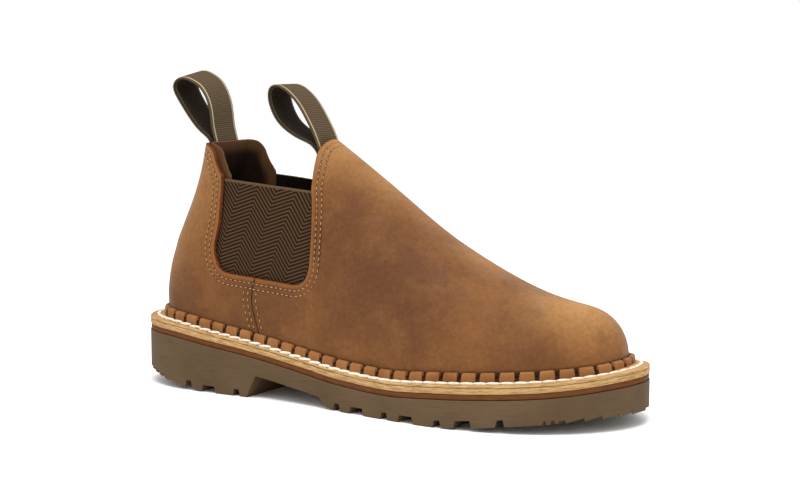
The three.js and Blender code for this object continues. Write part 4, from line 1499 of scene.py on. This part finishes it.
def strew(name, centres, along, out, size, material, shape, twist=0.0):
    """One mesh of many grains, each at its place and turned its own way."""
    points, faces = shape
    across = np.cross(out, along)
    across /= np.linalg.norm(across, axis=1)[:, None]
    along = np.cross(across, out)
    if twist:
        along, across = (along * math.cos(twist) + across * math.sin(twist),
                         across * math.cos(twist) - along * math.sin(twist))
    length, width, height = size
    parts = (
        centres[:, None, :]
        + along[:, None, :] * points[None, :, 0, None] * length / 2
        + across[:, None, :] * points[None, :, 1, None] * width / 2
        + out[:, None, :] * points[None, :, 2, None] * height / 2
    )
    every = [[n * len(points) + p for p in face] for n in range(len(centres)) for face in faces]
    return make_piece(name, parts.reshape(-1, 3), every, [material], sharp=80)


def offset_line(line, distance):
    way = np.gradient(line, axis=0)
    way /= np.maximum(np.linalg.norm(way, axis=1)[:, None], 1e-9)
    return line + np.stack([way[:, 1], -way[:, 0]], 1) * distance


STITCH_PITCH = 3.1
STITCH_LENGTH = 2.3
WELT_STITCH_PITCH = 7.1


def stitch_lines():
    """Rows of stitches in the side view: twice round the opening, and beside the seam."""
    edge, _, _ = even_places(opening_edge(), 500)
    lines = []
    for distance in STITCH_ROWS:
        line = offset_line(edge, distance)
        x, z = line.T
        field = -inside_distance(opening_region(), x, z)
        below_crest = z < seat(x) + crest_height(row_at(np.maximum(x, 1))) - 3
        lines.append(line[(field > distance - 0.25) & (below_crest | (x < ANKLE_X))])
    heights = np.linspace(39.5, SEAM_TOP - 7.5, 30)
    for distance in (-6.2, -3.2, 3.0):
        lines.append(np.stack([seam_x(heights) + distance, heights], 1))
    return lines


def make_seam_stitches():
    centres, ways, outs = [], [], []
    for side in (-1, 1):
        for line in stitch_lines():
            spots, _, _ = even_places(line, max(2, int(run_along(line)[-1] / STITCH_PITCH)))
            here, out = wall_frame(*spots.T, side)
            step = np.gradient(here, axis=0)
            centres.append(here + out * (0.02 + seam_lap(*spots.T))[:, None])
            ways.append(step / np.linalg.norm(step, axis=1)[:, None])
            outs.append(out)
    centres, ways, outs = (np.concatenate(data) for data in (centres, ways, outs))
    strew("seam_stitches", centres, ways, outs, (STITCH_LENGTH, 0.75, 0.7), TAN_THREAD, bead(4, 6, 2.6))
    # Flat dark beads under each stitch: painted shade in its holes
    strew("seam_pinhole_shade", centres - outs * 0.02, ways, outs, (STITCH_LENGTH + 0.9, 1.0, 0.22), PINHOLE_SHADE,
          bead(4, 8, 2.2))


def make_welt_stitches():
    path = OUTLINE + OUTLINE_INWARD * (MARGIN * STITCH_SHARE)[:, None]
    _, _, total = even_places(path, 4, closed=True)
    spots, _, _ = even_places(path, round(total / WELT_STITCH_PITCH), closed=True)
    step = np.roll(spots, -1, 0) - np.roll(spots, 1, 0)
    x = spots[:, 0]
    slope = (flange_top(x + 1) - flange_top(x - 1)) / 2
    way = np.column_stack([step, slope * step[:, 0]])
    way /= np.linalg.norm(way, axis=1)[:, None]
    up = np.zeros_like(way)
    up[:, 2] = 1
    centres = np.column_stack([spots, flange_top(x) + 0.25])
    strew("welt_stitches", centres, way, up, (8.4, 2.2, 1.9), CREAM_THREAD, bead(8, 10, 2.4), 0.1)


# Pull loops

def tape_route(table, height, stem_x, stem_z, tail):
    """The tape's middle line in the side view, up one leg, over and down the other."""
    half = TAPE_THICKNESS / 2 + 0.05
    loop = [(stem_x + ahead * height, stem_z + up * height) for ahead, up in table]
    (low_x, low_z), (high_x, high_z) = tail
    rise = [(low_x + half, low_z), (high_x + half, high_z)]
    fall = [(high_x - half, high_z), (low_x - half, low_z)]
    points = np.array(rise + loop + fall)
    steps = np.sqrt(np.linalg.norm(np.diff(points, axis=0), axis=1))
    places = np.r_[0, np.cumsum(steps)]
    dense = natural_spline(places, points)(np.linspace(0, places[-1], 900))
    return even_places(dense, 150)[:2]


def make_tape(name, node, route, run, lean=0.0):
    way = np.gradient(route, axis=0)
    way /= np.linalg.norm(way, axis=1)[:, None]
    sides = 30
    angle = 2 * math.pi * np.arange(sides) / sides
    y, n = (np.sign(turn(angle)) * np.abs(turn(angle)) ** TAPE_SQUARENESS * size / 2
            for turn, size in ((np.cos, TAPE_WIDTH), (np.sin, TAPE_THICKNESS)))
    top = route[:, 1].max()
    foot = top - HEEL_LOOP_HEIGHT
    rings = []
    for (x, z), (way_x, way_z) in zip(route, way):
        share = max(z - foot, 0) / (top - foot)
        rings.append(np.stack([x + way_z * n, y, z - way_x * n + lean * share**2 * y], 1))
    faces = [face[::-1] for face in lace(len(rings), sides)]
    faces += [list(range(sides)), [(len(rings) - 1) * sides + k for k in reversed(range(sides))]]
    band = (np.repeat(run, sides), np.tile(y, len(rings)), 1e9)
    # Marks the tape's face that looks into the loop, which gets painted shade
    inner = {"inner": np.tile(np.where(n < 0, 1.0, 0.0), len(rings))}
    made = make_piece(name, np.vstack(rings), faces, [WEBBING], None, inner, band, sharp=50)
    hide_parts(node)


def make_heel_loop():
    low_z = STEM_LEVEL - TAPE_TAIL
    shift = float(back_line(low_z - SEAT_AT_ANKLE)[0] - back_line(TAB_TOP)[0])
    tail = ((HEEL_STEM_X + shift, low_z), (HEEL_STEM_X - 0.3, STEM_LEVEL - STEM_HEIGHT))
    route, run = tape_route(HEEL_LOOP_TABLE, HEEL_LOOP_HEIGHT, HEEL_STEM_X, STEM_LEVEL, tail)
    make_tape("heel_loop_tape", "heel_pull_loop", route, run, HEEL_LOOP_LEAN)


def make_front_loop():
    stem_x = HEEL_SEAT + GORE_FRONT - PEAK_LEAN - TAPE_THICKNESS - SEAM_GAP
    stem_z = SEAT_AT_ANKLE + VAMP_PEAK - STEM_HEIGHT
    tail = ((stem_x + 5, stem_z - 2 * STEM_HEIGHT), (stem_x + 1, stem_z - STEM_HEIGHT / 2))
    route, run = tape_route(FRONT_LOOP_TABLE, FRONT_LOOP_HEIGHT, stem_x, stem_z, tail)
    make_tape("front_loop_tape", "front_pull_loop", route, run)


# Outsole: a slab with the arch, lug gaps, channels and chevrons cut from it


def edge_place(x, side):
    """Where the sole's edge is at some x, and which way it runs there."""
    half = len(OUTLINE) // 2
    line = OUTLINE[:half + 1] if side < 0 else np.vstack([OUTLINE[:1], OUTLINE[:half - 1:-1]])
    line = line[np.argsort(line[:, 0])]
    y, ahead, behind = (np.interp(place, *line.T) for place in (x, x + 1, x - 1))
    return y, math.atan2(ahead - behind, 2)


def wedge(place, yaw, slope, across, low_half, high_half):
    """A cutter across the tread's edge, wider at its foot."""
    points = []
    for z, half in ((-CUT_BELOW, low_half), (LUG_DEPTH, high_half)):
        for y in (-across, across):
            for sign in (-1, 1):
                points.append((sign * half, y, z + slope * sign * half))
    points = np.array(points)
    turn = np.array([[math.cos(yaw), -math.sin(yaw)], [math.sin(yaw), math.cos(yaw)]])
    points[:, :2] = points[:, :2] @ turn.T
    faces = [[0, 2, 3, 1], [4, 5, 7, 6], [0, 1, 5, 4], [2, 6, 7, 3], [0, 4, 6, 2], [1, 3, 7, 5]]
    return points + place, faces


def cutter_object(name, pieces):
    faces, base = [], 0
    for part_points, part_faces in pieces:
        faces += [[base + p for p in face] for face in part_faces]
        base += len(part_points)
    mesh = bpy.data.meshes.new(name)
    points = np.vstack([part_points for part_points, _ in pieces])
    mesh.from_pydata(place_in_row(points).tolist(), [], faces)
    shell = bmesh.new()
    shell.from_mesh(mesh)
    bmesh.ops.recalc_face_normals(shell, faces=shell.faces)
    shell.to_mesh(mesh)
    shell.free()
    return add_object(name, mesh)


def lug_gaps(start, end):
    gaps = []
    x = start
    while x < end:
        first = x + WIDE_LUG
        second = first + NARROW_GAP + NARROW_LUG
        gaps += [(first, first + NARROW_GAP), (second, x + LUG_PITCH)]
        x += LUG_PITCH
    return [gap for gap in gaps if gap[1] < end]


def tread_slope(x):
    return float(tread(x + 1) - tread(x - 1)) / 2


def arch_prism():
    end = ARCH_END + ARCH_END_SLOPE
    line = [(BREAST_PLACE - 1.5, -20), (BREAST_PLACE, float(tread(BREAST_PLACE)))]
    for x in np.linspace(BREAST_PLACE + BREAST_SLOPE, ARCH_END, 10):
        line.append((x, float(rubber_top(x)) - ARCH_THICKNESS))
    line += [(end, float(tread(end))), (end + 1.5, -20)]
    line = np.array(line)
    count = len(line)
    points = np.vstack([np.insert(line, 1, y, axis=1) for y in (-SOLE_WIDTH, SOLE_WIDTH)])
    faces = [list(range(count)), list(range(2 * count - 1, count - 1, -1))]
    for i in range(count):
        j = (i + 1) % count
        faces.append([j, i, count + i, count + j])
    return points, faces


def gap_wedges(gaps):
    pieces = []
    for low, high in gaps:
        x, half = (low + high) / 2, (high - low) / 2
        for side in (-1, 1):
            y, yaw = edge_place(x, side)
            place = (x, y - side * (EDGE_LUG_REACH / 2 - 3), float(tread(x)))
            across = EDGE_LUG_REACH / 2 + 3
            pieces.append(wedge(place, yaw, tread_slope(x), across, half + 1.6, half - 0.9))
    return pieces


def chevrons(gaps):
    pieces = []
    half = CHEVRON_GAP / 2 / math.cos(CHEVRON_SLANT)
    faces = [
        [0, 2, 3, 1], [2, 4, 5, 3], [6, 7, 9, 8], [8, 9, 11, 10], [0, 1, 7, 6], [4, 10, 11, 5],
        [0, 6, 8, 2], [2, 8, 10, 4], [1, 3, 9, 7], [3, 5, 11, 9],
    ]
    for low, high in gaps:
        x = (low + high) / 2
        outer, inner = (edge_place(x, side)[0] for side in (-1, 1))
        reach = (inner - outer) / 2 - EDGE_LUG_REACH
        run = reach * math.tan(CHEVRON_SLANT)
        points = []
        for level, grow in ((-CUT_BELOW, 1.2), (LUG_DEPTH, -0.4)):
            for y, back in ((-reach, run), (0, 0), (reach, run)):
                for sign in (-1, 1):
                    place = x - back + sign * (half + grow)
                    points.append((place, (outer + inner) / 2 + y, float(tread(x)) + level))
        pieces.append((np.array(points, float), faces))
    return pieces


def channels(spans):
    pieces = []
    # Across the channel and up, for the corners of its section
    half = CHANNEL_WIDTH / 2
    top = LUG_DEPTH * 0.96
    section = [(-half - 0.7, -CUT_BELOW), (half + 0.7, -CUT_BELOW), (half - 0.4, top), (0.4 - half, top)]
    for start, end in spans:
        for side in (-1, 1):
            stations = np.arange(start, end, 6.0)
            points = []
            for x in stations:
                centre = edge_place(x, side)[0] - side * (EDGE_LUG_REACH + half)
                points += [(x, centre + across, float(tread(x)) + up) for across, up in section]
            last = (len(stations) - 1) * 4
            faces = lace(len(stations), 4) + [[3, 2, 1, 0], [last, last + 1, last + 2, last + 3]]
            pieces.append((np.array(points, float), faces))
    return pieces


def tooth_height():
    """Saw teeth round the toe and finer ones round the heel's bevelled back edge, along the outline."""
    from_heel = np.minimum(OUTLINE_ALONG, OUTLINE_LENGTH - OUTLINE_ALONG)
    x = OUTLINE[:, 0]
    toe_start = TOE_LUG_LIMIT + TOE_TOOTH_PITCH
    saw = ((from_heel / TOE_TOOTH_PITCH) % 1) * (x > toe_start)
    small = ((from_heel / SMALL_TOOTH_PITCH) % 1 > 0.45) * ((x > TOE_LUG_LIMIT + 1) & (x <= toe_start))
    heel = ((from_heel / HEEL_TOOTH_PITCH) % 1 > 0.6) * (x < HEEL_LUG_START - HEEL_TOOTH_PITCH)
    return TOOTH_DEPTH * (saw + small + HEEL_TOOTH_SHARE * heel)


def cut(target, name, pieces):
    cutter = cutter_object(name, pieces)
    modifier = target.modifiers.new(name, "BOOLEAN")
    modifier.operation = "DIFFERENCE"
    modifier.solver = "EXACT"
    modifier.object = cutter
    return cutter


def make_outsole():
    x = OUTLINE[:, 0]
    low, high = tread(x) + tooth_height(), rubber_top(x)
    rows = [(0.4, low), (0, low + 0.4), (0, high - 0.5), (0.35, high)]
    rings = [ring_points(OUTLINE + OUTLINE_INWARD * inset, height) for inset, height in rows]
    faces = lace(len(rings), len(OUTLINE)) + both_caps(len(rings), len(OUTLINE))
    made = make_piece("outsole_rubber", np.vstack(rings), faces, [RUBBER])
    gaps = lug_gaps(HEEL_LUG_START, BREAST_PLACE + NARROW_GAP) + lug_gaps(ARCH_END, TOE_LUG_LIMIT)
    spans = [
        (HEEL_LUG_START - WIDE_LUG, BREAST_PLACE - WIDE_LUG),
        (ARCH_END + WIDE_LUG, TOE_LUG_LIMIT - WIDE_LUG),
    ]
    cutters = [
        cut(made, "arch_cut", [arch_prism()]),
        cut(made, "gap_cut", gap_wedges(gaps)),
        cut(made, "channel_cut", channels(spans)),
        cut(made, "chevron_cut", chevrons(gaps)),
    ]
    graph = bpy.context.evaluated_depsgraph_get()
    done = bpy.data.meshes.new_from_object(made.evaluated_get(graph))
    smooth_shading(done, 30)
    made.modifiers.clear()
    made.data = done
    for cutter in cutters:
        bpy.data.objects.remove(cutter)
    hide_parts("outsole")


# Floor, light and camera

def make_stage():
    s = Shader("pale_floor", Specular_IOR_Level=0.1)
    s.bump(s.noise(s.place(), 60, 2), 0.02, 0.2)
    mesh = bpy.data.meshes.new("floor")
    corners = [(FLOOR_REACH * x, FLOOR_REACH * y, 0) for x, y in ((-1, -1), (1, -1), (1, 1), (-1, 1))]
    mesh.from_pydata(corners, [], [[0, 1, 2, 3]])
    mesh.materials.append(s.finish((0.97, 0.97, 0.97, 1), 0.9))
    floor = add_object("floor", mesh)


def area_light(name, place, target, size, power):
    data = bpy.data.lights.new(name, "AREA")
    data.shape = "RECTANGLE"
    data.size, data.size_y = size
    data.energy = power
    light = add_object(name, data)
    light.location = place
    look_along(light, Vector(target) - Vector(place))


def look_along(made, way):
    made.rotation_mode = "QUATERNION"
    made.rotation_quaternion = way.to_track_quat("-Z", "Y")


def make_light():
    world = bpy.data.worlds.new("studio")
    world.use_nodes = True
    background = world.node_tree.nodes["Background"]
    background.inputs["Color"].default_value = (1, 1, 1, 1)
    background.inputs["Strength"].default_value = WORLD_STRENGTH
    bpy.context.scene.world = world
    area_light("key", (0.15, -0.45, 1.3), (0.03, 0, 0.05), (0.9, 0.7), 14)
    area_light("rim", (0.1, 0.9, 1.1), (0.03, 0, 0.08), (0.9, 0.5), 4)
    bpy.context.scene.view_settings.view_transform = "Standard"
    bpy.context.scene.view_settings.look = "None"


def make_camera():
    data = bpy.data.cameras.new("camera")
    data.sensor_width = 36
    data.lens = CAMERA_LENS
    data.shift_x, data.shift_y = CAMERA_SHIFT
    camera = add_object("camera", data)
    a, e = math.radians(CAMERA_AZIMUTH), math.radians(CAMERA_ELEVATION)
    back = Vector((math.sin(a) * math.cos(e), -math.cos(a) * math.cos(e), math.sin(e)))
    camera.location = Vector(place_in_row([CAMERA_TARGET])[0]) + back * CAMERA_DISTANCE
    look_along(camera, -back)
    bpy.context.scene.camera = camera


make_camera()
make_light()
make_stage()
make_outsole()
make_rand()
make_midsole()
make_flange()
make_lip()
make_welt_stitches()
make_insole()
make_gore(-1, "gore_lateral")
make_gore(1, "gore_medial")
make_upper()
make_heel_lining()
make_seam_stitches()
make_heel_loop()
make_front_loop()
